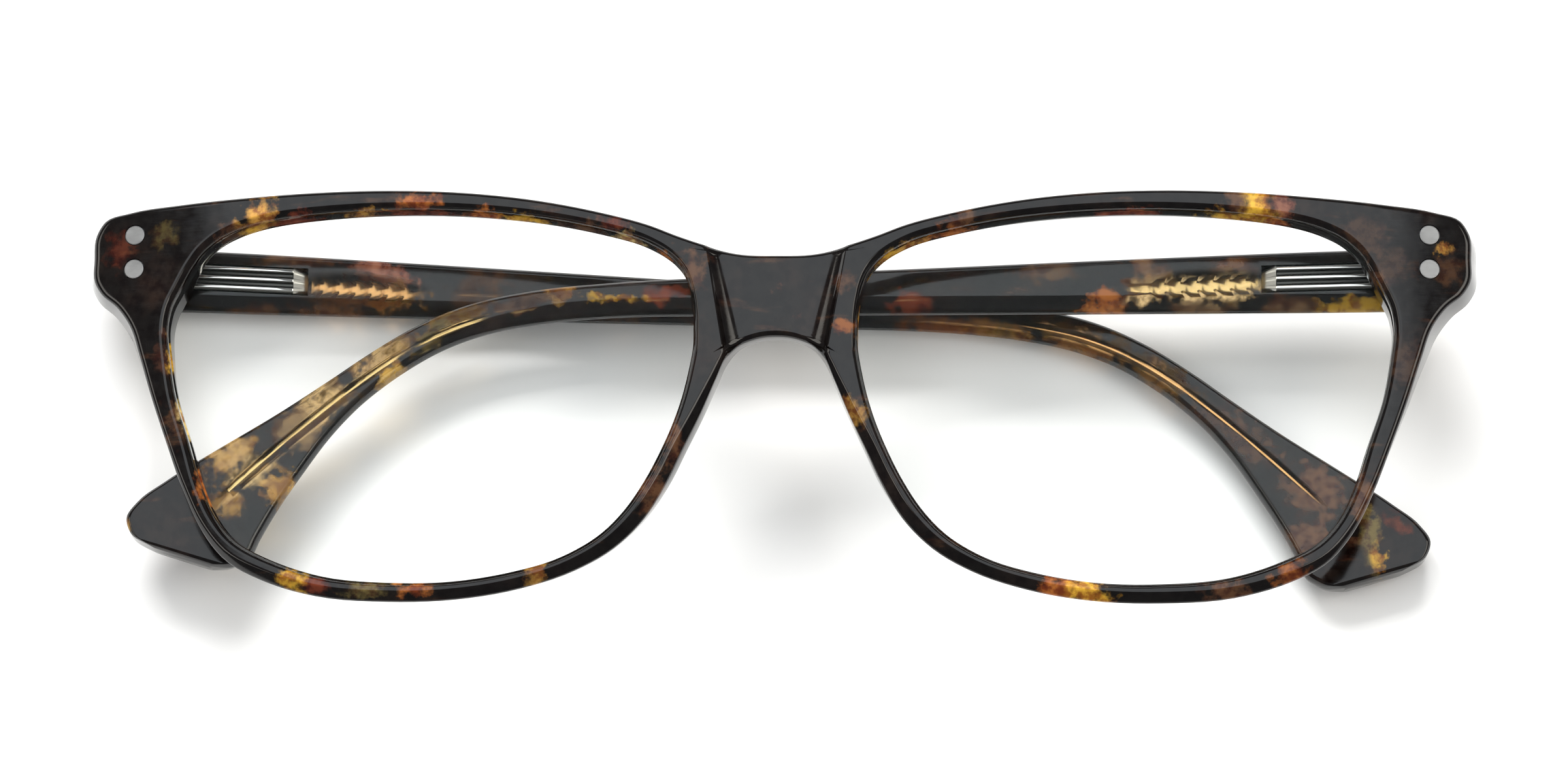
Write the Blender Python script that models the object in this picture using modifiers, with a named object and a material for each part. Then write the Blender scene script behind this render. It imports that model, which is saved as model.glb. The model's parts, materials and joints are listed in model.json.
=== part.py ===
"""Full-rim acetate eyeglasses frame, folded and lying on its left temple.

The front, both temples, the two spring hinges, the rivets, the nose pads, the
core wires and the demo lenses are separate solids. Left and right are the
viewer's, looking at the front. Lengths in this file are millimetres and are
turned into metres when a mesh is made.
"""

import math

import bmesh
import bpy
from mathutils import Matrix

MM = 0.001

# Front: a plate curved round a vertical axis behind it.
BASE_RADIUS = 350.0
RIM_THICKNESS = 4.0
END_BACK_Z = -11.5
END_START_X, END_FULL_X = 57.5, 61.5
END_START_Y, END_FULL_Y = 2.0, 8.0
END_FLARE = 0.05
FACE_SET_BACK = 0.1
INNER_BEVEL_WIDTH, INNER_BEVEL_DEPTH = 0.5, 0.7
BACK_BEVEL = 0.35
GROOVE_FRONT, GROOVE_APEX, GROOVE_BACK, GROOVE_DEEP = 1.5, 2.2, 2.9, 0.65
PLAIN_CROSSING = 0.72
STEPS_PER_ROW = 1

# Bridge: a saddle let into the front between two slanting creases.
CREASE_LOW, CREASE_HIGH = (4.6, 4.8), (6.5, 14.5)
SADDLE_DEPTH = 1.1
SADDLE_WALL, SADDLE_FILLET, SADDLE_WALL_SHARE = 0.5, 2.2, 0.6

# Half of the front, from the top of the bridge round the rim to the arch:
# outer x, outer y, lens opening x, lens opening y, width of the outer bevel.
RIM_ROWS = (
    (0.0, 14.4, 9.55, 13.0, 0.3),
    (3.4, 14.5, 10.0, 13.55, 0.3),
    (6.6, 15.12, 10.8, 14.3, 0.3),
    (9.6, 16.1, 12.0, 15.1, 0.3),
    (12.9, 17.4, 14.0, 16.05, 0.3),
    (17.4, 18.65, 17.7, 17.1, 0.3),
    (23.8, 20.0, 23.6, 18.3, 0.3),
    (31.0, 20.95, 30.8, 19.15, 0.3),
    (39.0, 21.42, 38.6, 19.5, 0.3),
    (47.0, 21.43, 46.0, 19.32, 0.3),
    (54.0, 21.15, 51.6, 18.75, 0.3),
    (60.5, 20.7, 55.2, 17.75, 0.3),
    (65.6, 20.1, 57.3, 16.5, 0.3),
    (68.1, 19.35, 58.4, 15.4, 0.3),
    (69.0, 17.9, 59.2, 14.2, 0.3),
    (69.15, 15.4, 59.9, 12.9, 0.3),
    (69.05, 13.1, 60.5, 11.7, 0.3),
    (68.3, 11.8, 60.95, 10.8, 0.3),
    (66.7, 10.4, 61.3, 9.7, 0.3),
    (65.3, 8.4, 61.5, 8.0, 0.3),
    (64.2, 5.2, 61.2, 5.0, 0.3),
    (63.0, 1.3, 60.55, 1.2, 0.3),
    (61.2, -3.9, 59.0, -3.8, 0.3),
    (59.4, -8.8, 57.55, -8.5, 0.4),
    (57.7, -12.4, 56.0, -11.7, 0.5),
    (55.2, -15.5, 53.9, -14.1, 0.6),
    (51.3, -17.7, 50.5, -16.0, 0.7),
    (45.6, -19.5, 45.2, -17.85, 0.75),
    (38.6, -20.2, 38.6, -18.65, 0.75),
    (31.6, -20.1, 31.8, -18.65, 0.75),
    (25.2, -19.1, 25.6, -17.7, 0.75),
    (19.9, -17.4, 21.0, -16.3, 0.8),
    (16.0, -15.2, 17.5, -14.3, 0.9),
    (13.0, -12.3, 15.0, -11.85, 1.0),
    (10.7, -8.8, 12.9, -8.75, 1.05),
    (8.9, -5.07, 11.1, -5.2, 1.0),
    (7.3, -1.74, 9.85, -2.1, 0.85),
    (5.87, 1.6, 8.95, 1.0, 0.6),
    (4.85, 3.85, 8.45, 3.4, 0.45),
    (3.6, 5.25, 8.25, 4.6, 0.4),
    (1.9, 5.98, 8.2, 5.4, 0.4),
    (0.0, 6.2, 8.2, 6.3, 0.4),
)
# The bridge between the two, on the mirror plane: height, lens opening x, y.
BRIDGE_ROWS = ((7.7, 8.2, 7.7), (9.3, 8.35, 9.3), (10.9, 8.65, 10.9), (12.7, 9.05, 12.1))

# Lens: a clear dummy with a V edge that sits in the rim's groove.
LENS_FACE_GAP, LENS_APEX = 0.12, 0.5
LENS_FRONT, LENS_BACK = 1.55, 2.85
LENS_RINGS = (0.66, 0.33)

# Hinge, in the front's frame. The axis runs along Y.
AXIS_X, AXIS_Z = 64.5, -13.5
HINGE_Y = 15.55
BARREL_RADIUS = 1.5
KNUCKLE_HALF, KNUCKLE_GAP, OUTER_KNUCKLE = 0.75, 0.1, 1.6
SCREW_RADIUS, SCREW_HOLE, SCREW_HEAD, SCREW_HEAD_HEIGHT = 0.6, 0.66, 1.1, 0.5
PLATE_X, PLATE_Y = (62.7, 67.3), (12.6, 19.2)
PLATE_FRONT_Z, PLATE_FIT = -10.72, 0.07
RIVET_X, RIVET_YS = 65.05, (14.2, 17.7)
RIVET_HEAD, RIVET_HEAD_HEIGHT, RIVET_SHANK, RIVET_FIT = 1.0, 0.6, 0.65, 0.06
RIVET_TAIL_Z, SOCKET_FLOOR_Z = -11.0, -11.12

# Temple, in its own frame: s along it from the hinge axis to the tip, y up,
# w outwards. Upper edge s, y and lower edge s, y.
TEMPLE_ROWS = (
    (-1.7, 18.4, -1.7, 12.0),
    (8.0, 18.05, 8.0, 11.8),
    (25.0, 17.25, 25.0, 11.55),
    (50.0, 15.95, 50.0, 11.25),
    (70.0, 14.95, 70.0, 11.0),
    (82.0, 14.2, 81.5, 10.75),
    (90.0, 13.3, 88.5, 10.1),
    (96.5, 11.75, 94.2, 8.95),
    (101.8, 9.35, 98.9, 7.1),
    (106.0, 6.7, 102.8, 4.7),
    (110.0, 3.85, 106.2, 2.0),
    (115.0, 0.4, 109.4, -1.4),
    (121.0, -3.4, 112.4, -5.6),
    (126.4, -6.9, 115.2, -10.0),
    (129.0, -8.9, 116.6, -12.6),
    (130.1, -10.6, 117.5, -14.4),
    (129.6, -12.2, 118.9, -15.3),
    (127.7, -13.5, 120.9, -15.6),
)
TEMPLE_INNER_W, TEMPLE_OUTER_W = 0.5, 4.5
TIP_THINNING = 0.5
TIP_CURVE_START, TIP_CURVE_END, TIP_CURVE = 85.0, 128.0, 1.2
EDGE_BEVEL, OUTER_EDGE_BEVEL = 0.35, 0.6
LOWER_BEVEL_BAR, LOWER_BEVEL_TIP = 1.7, 0.7
KNUCKLE_CLEARANCE = 1.75

# Spring hinge parts, in the temple's frame.
CASE_S, CASE_HALF_Y, CASE_W = (2.0, 16.1), 1.35, (0.15, 2.35)
CASE_CHAMFER = 0.35
CAVITY_END_S, CAVITY_HALF_Y, CAVITY_W = 15.5, 0.85, (0.55, 1.85)
CASE_SLOPE = 0.0355
POCKET_FIT = 0.07
NECK_END_S, NECK_W = 5.2, (0.7, 1.7)
ROD_W, ROD_RADIUS, ROD_END_S = 1.2, 0.34, 13.2
STOP_S, STOP_HALF_Y, STOP_W, STOP_HOLE = (6.4, 7.4), 0.8, (0.6, 1.8), 0.42
SPRING_S, SPRING_RADIUS, SPRING_WIRE = (7.75, 12.0), 0.5, 0.09
SPRING_TURNS, SPRING_STEPS = 6, 9
NUT_S, NUT_RADIUS, NUT_HOLE = (12.2, 13.2), 0.6, 0.4

# Core wire: a flat stamped root behind the case, then a round wire.
CORE_W = 2.6
CORE_ROOT_S, CORE_FLAT_END_S, CORE_ROUND_S, CORE_END_S = 16.45, 25.0, 30.0, 120.0
CORE_FLAT_HALF_Y, CORE_FLAT_HALF_W, CORE_RADIUS = 1.05, 0.45, 0.65
CORE_FIT, CORE_SIDES, CORE_STATIONS = 0.1, 8, 22
CHANNEL_START_S = 15.4

# Nose pads: height along the rim in rows of RIM_ROWS, depth behind the front.
PAD_ROWS = (33, 39)
PAD_FRONT_Z, PAD_DEPTH = -4.35, 4.2
PAD_PROFILE = (
    (0.10, 0.0), (0.92, 0.0), (1.05, 0.25), (1.05, 0.6),
    (0.9, 0.88), (0.65, 1.0), (0.42, 0.88), (0.22, 0.5),
)

# How it lies: the left temple's outer face is on the ground, and the right
# temple, lying over it, tips the front up at its right-hand end.
FRONT_TILT = math.radians(3.0)
LEFT_FOLD = math.radians(3.0)
RIGHT_FOLD = math.radians(1.6)
CENTRE_X, CENTRE_Y = 0.579, 0.615
LIFT = TEMPLE_OUTER_W + AXIS_X * math.sin(FRONT_TILT) - AXIS_Z * math.cos(FRONT_TILT)


def clear_scene():
    for obj in list(bpy.data.objects):
        bpy.data.objects.remove(obj, do_unlink=True)
    for group in (bpy.data.meshes, bpy.data.curves, bpy.data.materials):
        for block in list(group):
            group.remove(block)


def new_collection(name):
    collection = bpy.data.collections.new(name)
    bpy.context.scene.collection.children.link(collection)
    return collection


def new_material(name, colour, roughness, metallic, alpha=1.0):
    material = bpy.data.materials.new(name)
    material.use_nodes = True
    shader = material.node_tree.nodes["Principled BSDF"]
    shader.inputs["Base Color"].default_value = (*colour, 1.0)
    shader.inputs["Roughness"].default_value = roughness
    shader.inputs["Metallic"].default_value = metallic
    shader.inputs["Alpha"].default_value = alpha
    return material


def ease(value, start, end):
    """0 before start, 1 after end, smooth between."""
    t = min(1.0, max(0.0, (value - start) / (end - start)))
    return t * t * (3.0 - 2.0 * t)


def mix(a, b, t):
    return a + (b - a) * t


def smooth_rows(rows, steps, before=None, after=None):
    """Rows on one smooth curve through the given rows, with steps spans to each of theirs."""
    first = before or tuple(2 * a - b for a, b in zip(rows[0], rows[1]))
    last = after or tuple(2 * a - b for a, b in zip(rows[-1], rows[-2]))
    padded = [first, *rows, last]
    gaps = [max(math.dist(a[:2], b[:2]), 0.3) for a, b in zip(padded, padded[1:])]
    found = []
    for i in range(1, len(padded) - 2):
        p0, p1, p2, p3 = padded[i - 1:i + 3]
        g0, g1, g2 = gaps[i - 1:i + 2]
        for step in range(steps):
            t = step / steps
            row = []
            for a, b, c, d in zip(p0, p1, p2, p3):
                tangent_1 = g1 * ((b - a) / g0 - (c - a) / (g0 + g1) + (c - b) / g1)
                tangent_2 = g1 * ((c - b) / g1 - (d - b) / (g1 + g2) + (d - c) / g2)
                row.append(
                    (2 * t**3 - 3 * t**2 + 1) * b
                    + (t**3 - 2 * t**2 + t) * tangent_1
                    + (3 * t**2 - 2 * t**3) * c
                    + (t**3 - t**2) * tangent_2
                )
            found.append(tuple(row))
    found.append(tuple(rows[-1]))
    return found


def normals_of(points, closed):
    """Unit normals on the left-hand side of a line of points."""
    count = len(points)
    found = []
    for i in range(count):
        before = points[(i - 1) % count] if closed or i else points[0]
        after = points[(i + 1) % count] if closed or i < count - 1 else points[-1]
        dx, dy = after[0] - before[0], after[1] - before[1]
        length = math.hypot(dx, dy)
        found.append((-dy / length, dx / length))
    return found


# The front's own surface.

def surface_z(x):
    return math.sqrt(BASE_RADIUS**2 - x * x) - BASE_RADIUS


def crease_rise(y):
    """Where a height lies along the crease: 0 at its low end, 1 at its high end."""
    return (y - CREASE_LOW[1]) / (CREASE_HIGH[1] - CREASE_LOW[1])


def crease_x(y):
    return mix(CREASE_LOW[0], CREASE_HIGH[0], crease_rise(y))


def saddle(x, y):
    """How far the bridge is let in at a point."""
    inside = crease_x(y) - abs(x)
    if inside <= 0.0:
        return 0.0
    depth = SADDLE_DEPTH * min(1.0, max(0.0, 1.0 - crease_rise(y)))
    wall = min(1.0, inside / SADDLE_WALL)
    fillet = ease(inside, SADDLE_WALL, SADDLE_FILLET)
    return depth * mix(fillet, wall, SADDLE_WALL_SHARE)


def thickness(x, y):
    extra = surface_z(x) - END_BACK_Z - RIM_THICKNESS
    return RIM_THICKNESS + extra * ease(x, END_START_X, END_FULL_X) * ease(y, END_START_Y, END_FULL_Y)


def behind(x, y, depth):
    """The point a given depth behind the front surface at x, y."""
    lean = x / BASE_RADIUS * (1.0 - ease(x, 52.0, 66.0)) - END_FLARE * ease(x, 60.0, 68.0)
    return (x - depth * lean, y, surface_z(x) - depth)


def rim_stations(steps):
    """Stations round half of the front: outer point and normal, lens opening point and normal, bevel."""
    mirrored = (-RIM_ROWS[1][0], RIM_ROWS[1][1], *RIM_ROWS[0][2:])
    below = (-RIM_ROWS[-2][0], RIM_ROWS[-2][1], *RIM_ROWS[-1][2:])
    rows = smooth_rows(RIM_ROWS, steps, mirrored, below)
    outer = [row[:2] for row in rows]
    outer_normals = normals_of(outer, False)
    outer_normals[0], outer_normals[-1] = (0.0, 1.0), (0.0, -1.0)
    stations = [[o, n, row[2:4], row[4]] for o, n, row in zip(outer, outer_normals, rows)]
    for height, x, y in BRIDGE_ROWS:
        stations.append([(0.0, height), (0.0, 0.0), (x, y), 0.0])
    inner_normals = normals_of([station[2] for station in stations], True)
    for station, normal in zip(stations, inner_normals):
        station.insert(3, normal)
    return stations


def rim_ring(outer, outer_normal, inner, inner_normal, bevel):
    """One cross-section of the front, as a closed ring of points."""
    face_in = [inner[k] + inner_normal[k] * INNER_BEVEL_WIDTH for k in (0, 1)]
    face_out = [outer[k] - outer_normal[k] * bevel for k in (0, 1)]
    back_in = [inner[k] + inner_normal[k] * BACK_BEVEL for k in (0, 1)]
    back_out = [outer[k] - outer_normal[k] * BACK_BEVEL for k in (0, 1)]
    apex = [inner[k] + inner_normal[k] * GROOVE_DEEP for k in (0, 1)]
    crossing = PLAIN_CROSSING
    if face_out[0] < crease_x(face_out[1]):
        low, high = 0.0, 1.0
        for _ in range(24):
            crossing = (low + high) / 2
            x, y = (mix(face_in[k], face_out[k], crossing) for k in (0, 1))
            if x > crease_x(y):
                low = crossing
            else:
                high = crossing
    span = math.dist(face_in, face_out)
    foot = min(mix(crossing, 1.0, 0.5), crossing + SADDLE_WALL / span)
    fillet = min(mix(foot, 1.0, 0.6), crossing + SADDLE_FILLET / span)
    ring = [behind(*inner, INNER_BEVEL_DEPTH)]
    for t in (0.0, crossing / 2, crossing, foot, fillet, 1.0):
        x, y = (mix(face_in[k], face_out[k], t) for k in (0, 1))
        ring.append(behind(x, y, FACE_SET_BACK + saddle(x, y)))
    outer_thick = thickness(*outer)
    ring.append(behind(*outer, FACE_SET_BACK + saddle(*outer) + 0.9 * bevel))
    ring.append(behind(*outer, outer_thick - BACK_BEVEL))
    for t in (1.0, 0.7, 0.35, 0.0):
        x, y = (mix(back_in[k], back_out[k], t) for k in (0, 1))
        ring.append(behind(x, y, thickness(x, y)))
    ring.append(behind(*inner, thickness(*inner) - BACK_BEVEL))
    ring.append(behind(*inner, GROOVE_BACK))
    ring.append(behind(*apex, GROOVE_APEX))
    ring.append(behind(*inner, GROOVE_FRONT))
    return ring


# Mesh making.

def finish(bm, name, parent, material, collection, side=1, smooth_angle=None, cutter=False):
    """Turns a mesh in millimetres into an object in metres, mirrored in X for the left side."""
    bmesh.ops.transform(bm, matrix=Matrix.Diagonal((side * MM, MM, MM, 1.0)), verts=bm.verts)
    bmesh.ops.recalc_face_normals(bm, faces=bm.faces)
    mesh = bpy.data.meshes.new(name)
    bm.to_mesh(mesh)
    bm.free()
    obj = bpy.data.objects.new(name, mesh)
    collection.objects.link(obj)
    obj.parent = parent
    if smooth_angle:
        mesh.shade_smooth()
        mesh.set_sharp_from_angle(angle=smooth_angle)
    if cutter:
        obj.hide_render = True
        obj.display_type = "WIRE"
    else:
        mesh.materials.append(material)
    return obj


def loft(rings, closed=False, capped=True):
    """A skin through rings with the same number of points."""
    bm = bmesh.new()
    made = [[bm.verts.new(point) for point in ring] for ring in rings]
    count = len(made[0])
    pairs = list(zip(made, made[1:]))
    if closed:
        pairs.append((made[-1], made[0]))
    for one, two in pairs:
        for i in range(count):
            j = (i + 1) % count
            bm.faces.new((one[i], one[j], two[j], two[i]))
    if capped and not closed:
        bm.faces.new(made[0])
        bm.faces.new(made[-1])
    return bm


def box(low, high):
    bm = bmesh.new()
    bmesh.ops.create_cube(bm, size=1.0)
    size = [b - a for a, b in zip(low, high)]
    centre = [(a + b) / 2 for a, b in zip(low, high)]
    place = Matrix.Translation(centre) @ Matrix.Diagonal((*size, 1.0))
    bmesh.ops.transform(bm, matrix=place, verts=bm.verts)
    return bm


def cylinder(radius, start, end, axis, centre, sides):
    """A cylinder along axis 0, 1 or 2 between start and end, centred on the two other coordinates."""
    bm = bmesh.new()
    bmesh.ops.create_cone(
        bm, cap_ends=True, segments=sides, radius1=radius, radius2=radius, depth=end - start
    )
    turn = {
        0: Matrix.Rotation(math.pi / 2, 4, "Y"),
        1: Matrix.Rotation(math.pi / 2, 4, "X"),
        2: Matrix.Identity(4),
    }[axis]
    place = list(centre)
    place.insert(axis, (start + end) / 2)
    bmesh.ops.transform(bm, matrix=Matrix.Translation(place) @ turn, verts=bm.verts)
    return bm


def prism(outline, low, high):
    """An outline in X and Z extruded along Y."""
    bm = bmesh.new()
    face = bm.faces.new([bm.verts.new((x, low, z)) for x, z in outline])
    made = bmesh.ops.extrude_face_region(bm, geom=[face])
    top = [item for item in made["geom"] if isinstance(item, bmesh.types.BMVert)]
    bmesh.ops.translate(bm, verts=top, vec=(0.0, high - low, 0.0))
    return bm


def cut(obj, bm, name, parent, cutters, side, operation="DIFFERENCE"):
    """Takes a shape away from an object, or adds it with UNION."""
    tool = finish(bm, name, parent, None, cutters, side, cutter=True)
    modifier = obj.modifiers.new(f"{operation.lower()} {name}", "BOOLEAN")
    modifier.operation = operation
    modifier.solver = "EXACT"
    modifier.object = tool


def arc(radius, start, end, steps):
    angles = [math.radians(mix(start, end, i / steps)) for i in range(steps + 1)]
    return [(radius * math.cos(angle), radius * math.sin(angle)) for angle in angles]


# The front and what is fixed to it. Each function builds the right-hand one.

def make_front(parts, cutters, frame, acetate):
    stations = rim_stations(STEPS_PER_ROW)
    rings = [rim_ring(*station) for station in stations]
    bm = loft(rings, closed=True)
    on_plane = [face for face in bm.faces if all(abs(vert.co.x) < 1e-6 for vert in face.verts)]
    bmesh.ops.delete(bm, geom=on_plane, context="FACES")
    front = finish(bm, "front", frame, acetate, parts, smooth_angle=math.radians(25))
    mirror = front.modifiers.new("mirror", "MIRROR")
    mirror.merge_threshold = 0.00001
    for side, word in ((1, "right"), (-1, "left")):
        pocket = box(
            (PLATE_X[0] - PLATE_FIT, PLATE_Y[0] - PLATE_FIT, END_BACK_Z - 1.0),
            (PLATE_X[1] + PLATE_FIT, PLATE_Y[1] + PLATE_FIT, PLATE_FRONT_Z + PLATE_FIT),
        )
        cut(front, pocket, f"plate_pocket_{word}", frame, cutters, side)
        for y, place in zip(RIVET_YS, ("lower", "upper")):
            head_floor = surface_z(RIVET_X) - RIVET_HEAD_HEIGHT - RIVET_FIT
            place_xy = (RIVET_X, y)
            shank_radius = RIVET_SHANK + RIVET_FIT
            head = cylinder(RIVET_HEAD + RIVET_FIT, head_floor, 0.0, 2, place_xy, 20)
            shank = cylinder(shank_radius, PLATE_FRONT_Z - 0.2, head_floor + 0.1, 2, place_xy, 12)
            for kind, bm in (("head", head), ("shank", shank)):
                name = f"rivet_{kind}_hole_{place}_{word}"
                cut(front, bm, name, frame, cutters, side)


def make_lens(side, word, parts, frame, clear):
    stations = rim_stations(STEPS_PER_ROW)
    outline = [station[2] for station in stations]
    normals = [station[3] for station in stations]
    centre = [sum(point[k] for point in outline) / len(outline) for k in (0, 1)]
    edge = [[p[k] - n[k] * LENS_FACE_GAP for k in (0, 1)] for p, n in zip(outline, normals)]
    apex = [[p[k] + n[k] * LENS_APEX for k in (0, 1)] for p, n in zip(outline, normals)]
    rings = []
    for scale in (*LENS_RINGS[::-1], 1.0):
        rings.append([behind(*(mix(centre[k], p[k], scale) for k in (0, 1)), LENS_FRONT) for p in edge])
    rings.append([behind(*p, GROOVE_APEX) for p in apex])
    for scale in (1.0, *LENS_RINGS):
        rings.append([behind(*(mix(centre[k], p[k], scale) for k in (0, 1)), LENS_BACK) for p in edge])
    finish(loft(rings), f"lens_{word}", frame, clear, parts, side, math.radians(30))


def make_nose_pad(side, word, parts, frame, acetate):
    start, end = PAD_ROWS
    rows = smooth_rows(RIM_ROWS[start:end + 1], 2)
    rings = []
    for i, row in enumerate(rows):
        t = i / (len(rows) - 1)
        swell = math.sqrt(max(0.06, 1.0 - (2.0 * t - 1.0) ** 4))
        width = min(2.6, math.dist(row[:2], row[2:4])) * 0.9
        length = math.dist(row[:2], row[2:4])
        across = [(row[k + 2] - row[k]) / length for k in (0, 1)]
        ring = []
        for u, v in PAD_PROFILE:
            along = 0.15 + width * mix(0.5, u, swell)
            deep = PAD_FRONT_Z - PAD_DEPTH * v * swell * mix(0.75, 1.0, 1.0 - t)
            ring.append((row[0] + across[0] * along, row[1] + across[1] * along, deep))
        rings.append(ring)
    finish(loft(rings), f"nose_pad_{word}", frame, acetate, parts, side, math.radians(50))


def make_rivet(side, word, y, place, parts, cutters, frame, silver):
    """A flush head on the front, and a shank that ends in a socket of the hinge plate."""
    floor = surface_z(RIVET_X) - RIVET_HEAD_HEIGHT
    bm = cylinder(RIVET_HEAD, floor, floor + 1.0, 2, (RIVET_X, y), 20)
    for vert in bm.verts:
        if vert.co.z > floor + 0.5:
            vert.co.z = surface_z(vert.co.x) - 0.08
    head = finish(bm, f"rivet_{place}_{word}", frame, silver, parts, side, math.radians(40))
    shank = cylinder(RIVET_SHANK, RIVET_TAIL_Z, floor + 0.2, 2, (RIVET_X, y), 12)
    cut(head, shank, f"rivet_shank_{place}_{word}", frame, cutters, side, "UNION")


def make_hinge_plate(side, word, parts, cutters, frame, steel):
    """The front leaf: a plate let into the end piece, with two knuckles."""
    bm = box((PLATE_X[0], PLATE_Y[0], END_BACK_Z), (PLATE_X[1], PLATE_Y[1], PLATE_FRONT_Z))
    plate = finish(bm, f"hinge_plate_{word}", frame, steel, parts, side, math.radians(40))
    web_top = END_BACK_Z - AXIS_Z + 0.3
    outline = [(BARREL_RADIUS, web_top), (-BARREL_RADIUS, web_top), *arc(BARREL_RADIUS, 180, 360, 10)]
    outline = [(AXIS_X + x, AXIS_Z + z) for x, z in outline]
    near = KNUCKLE_HALF + KNUCKLE_GAP
    for sign, place in ((1, "upper"), (-1, "lower")):
        low, high = sorted((HINGE_Y + sign * near, HINGE_Y + sign * (near + OUTER_KNUCKLE)))
        name = f"knuckle_{place}_{word}"
        cut(plate, prism(outline, low, high), name, frame, cutters, side, "UNION")
    reach = near + OUTER_KNUCKLE + 0.5
    hole = cylinder(SCREW_HOLE, HINGE_Y - reach, HINGE_Y + reach, 1, (AXIS_X, AXIS_Z), 16)
    cut(plate, hole, f"screw_hole_{word}", frame, cutters, side)
    for y, place in zip(RIVET_YS, ("lower", "upper")):
        socket = cylinder(RIVET_SHANK + RIVET_FIT, SOCKET_FLOOR_Z, PLATE_FRONT_Z + 0.5, 2, (RIVET_X, y), 12)
        cut(plate, socket, f"rivet_socket_{place}_{word}", frame, cutters, side)


def make_hinge_screw(side, word, parts, cutters, frame, steel):
    reach = KNUCKLE_HALF + KNUCKLE_GAP + OUTER_KNUCKLE
    bm = cylinder(SCREW_RADIUS, HINGE_Y - reach - 0.1, HINGE_Y + reach + 0.2, 1, (AXIS_X, AXIS_Z), 16)
    screw = finish(bm, f"hinge_screw_{word}", frame, steel, parts, side, math.radians(40))
    seat = HINGE_Y + reach + 0.05
    head = cylinder(SCREW_HEAD, seat, seat + SCREW_HEAD_HEIGHT, 1, (AXIS_X, AXIS_Z), 16)
    cut(screw, head, f"screw_head_{word}", frame, cutters, side, "UNION")
    top = seat + SCREW_HEAD_HEIGHT
    slot = box((AXIS_X - 1.5, top - 0.25, AXIS_Z - 0.15), (AXIS_X + 1.5, top + 0.5, AXIS_Z + 0.15))
    cut(screw, slot, f"screw_slot_{word}", frame, cutters, side)


# Temple parts. In the right temple's mesh X is -s and Z is -w.

def temple_point(s, y, w):
    return (-s, y, -w)


def case_y(s):
    """Height of the case's middle line, which follows the temple's slope."""
    return HINGE_Y - CASE_SLOPE * s


def temple_box(s_range, half_y, w_range):
    """A bar that follows the case's slope."""
    rings = []
    for s in s_range:
        y = case_y(s)
        corners = ((-1, 0), (1, 0), (1, 1), (-1, 1))
        rings.append([temple_point(s, y + sign * half_y, w_range[k]) for sign, k in corners])
    return loft(rings)


def temple_shift(s):
    """How far the tip curves in towards the head."""
    return -TIP_CURVE * ease(s, TIP_CURVE_START, TIP_CURVE_END)


def make_temple(side, word, parts, cutters, pivot, acetate):
    rows = smooth_rows(TEMPLE_ROWS, 2)
    rings = []
    for su, yu, sl, yl in rows:
        height = math.hypot(sl - su, yl - yu)
        middle = (su + sl) / 2
        thin = ease(middle, 60.0, 120.0)
        inner = TEMPLE_INNER_W + TIP_THINNING * thin
        lower = mix(LOWER_BEVEL_BAR, LOWER_BEVEL_TIP, ease(middle, 85.0, 110.0))
        section = (
            (EDGE_BEVEL, inner), (height * 0.5, inner), (height - lower, inner + 0.12),
            (height - 0.45 * lower, inner + 0.45), (height, inner + 1.1),
            (height, TEMPLE_OUTER_W - OUTER_EDGE_BEVEL), (height - OUTER_EDGE_BEVEL, TEMPLE_OUTER_W),
            (OUTER_EDGE_BEVEL, TEMPLE_OUTER_W), (0.0, TEMPLE_OUTER_W - OUTER_EDGE_BEVEL),
            (0.0, inner + EDGE_BEVEL),
        )
        ring = []
        for v, w in section:
            t = v / height
            s = mix(su, sl, t)
            ring.append(temple_point(s, mix(yu, yl, t), w + temple_shift(s)))
        rings.append(ring)
    temple = finish(loft(rings), f"temple_{word}", pivot, acetate, parts, side, math.radians(25))
    relief = cylinder(KNUCKLE_CLEARANCE, 5.0, 25.0, 1, (0.0, 0.0), 24)
    cut(temple, relief, f"knuckle_relief_{word}", pivot, cutters, side)
    notch = box((0.0, 5.0, -KNUCKLE_CLEARANCE), (3.0, 25.0, 1.0))
    cut(temple, notch, f"web_relief_{word}", pivot, cutters, side)
    pocket = temple_box(
        (-3.0, CASE_S[1] + POCKET_FIT), CASE_HALF_Y + POCKET_FIT, (-1.0, CASE_W[1] + POCKET_FIT)
    )
    cut(temple, pocket, f"case_pocket_{word}", pivot, cutters, side)
    channel = core_loft(CHANNEL_START_S, CORE_END_S + CORE_FIT, CORE_FIT)
    cut(temple, channel, f"core_channel_{word}", pivot, cutters, side)


def core_centre(s_wanted, rows):
    """The middle of the temple where its middle line has run to s."""
    middles = [((row[0] + row[2]) / 2, (row[1] + row[3]) / 2) for row in rows]
    for (s1, y1), (s2, y2) in zip(middles, middles[1:]):
        if s1 <= s_wanted <= s2:
            return mix(y1, y2, (s_wanted - s1) / (s2 - s1))
    return middles[-1][1]


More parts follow.
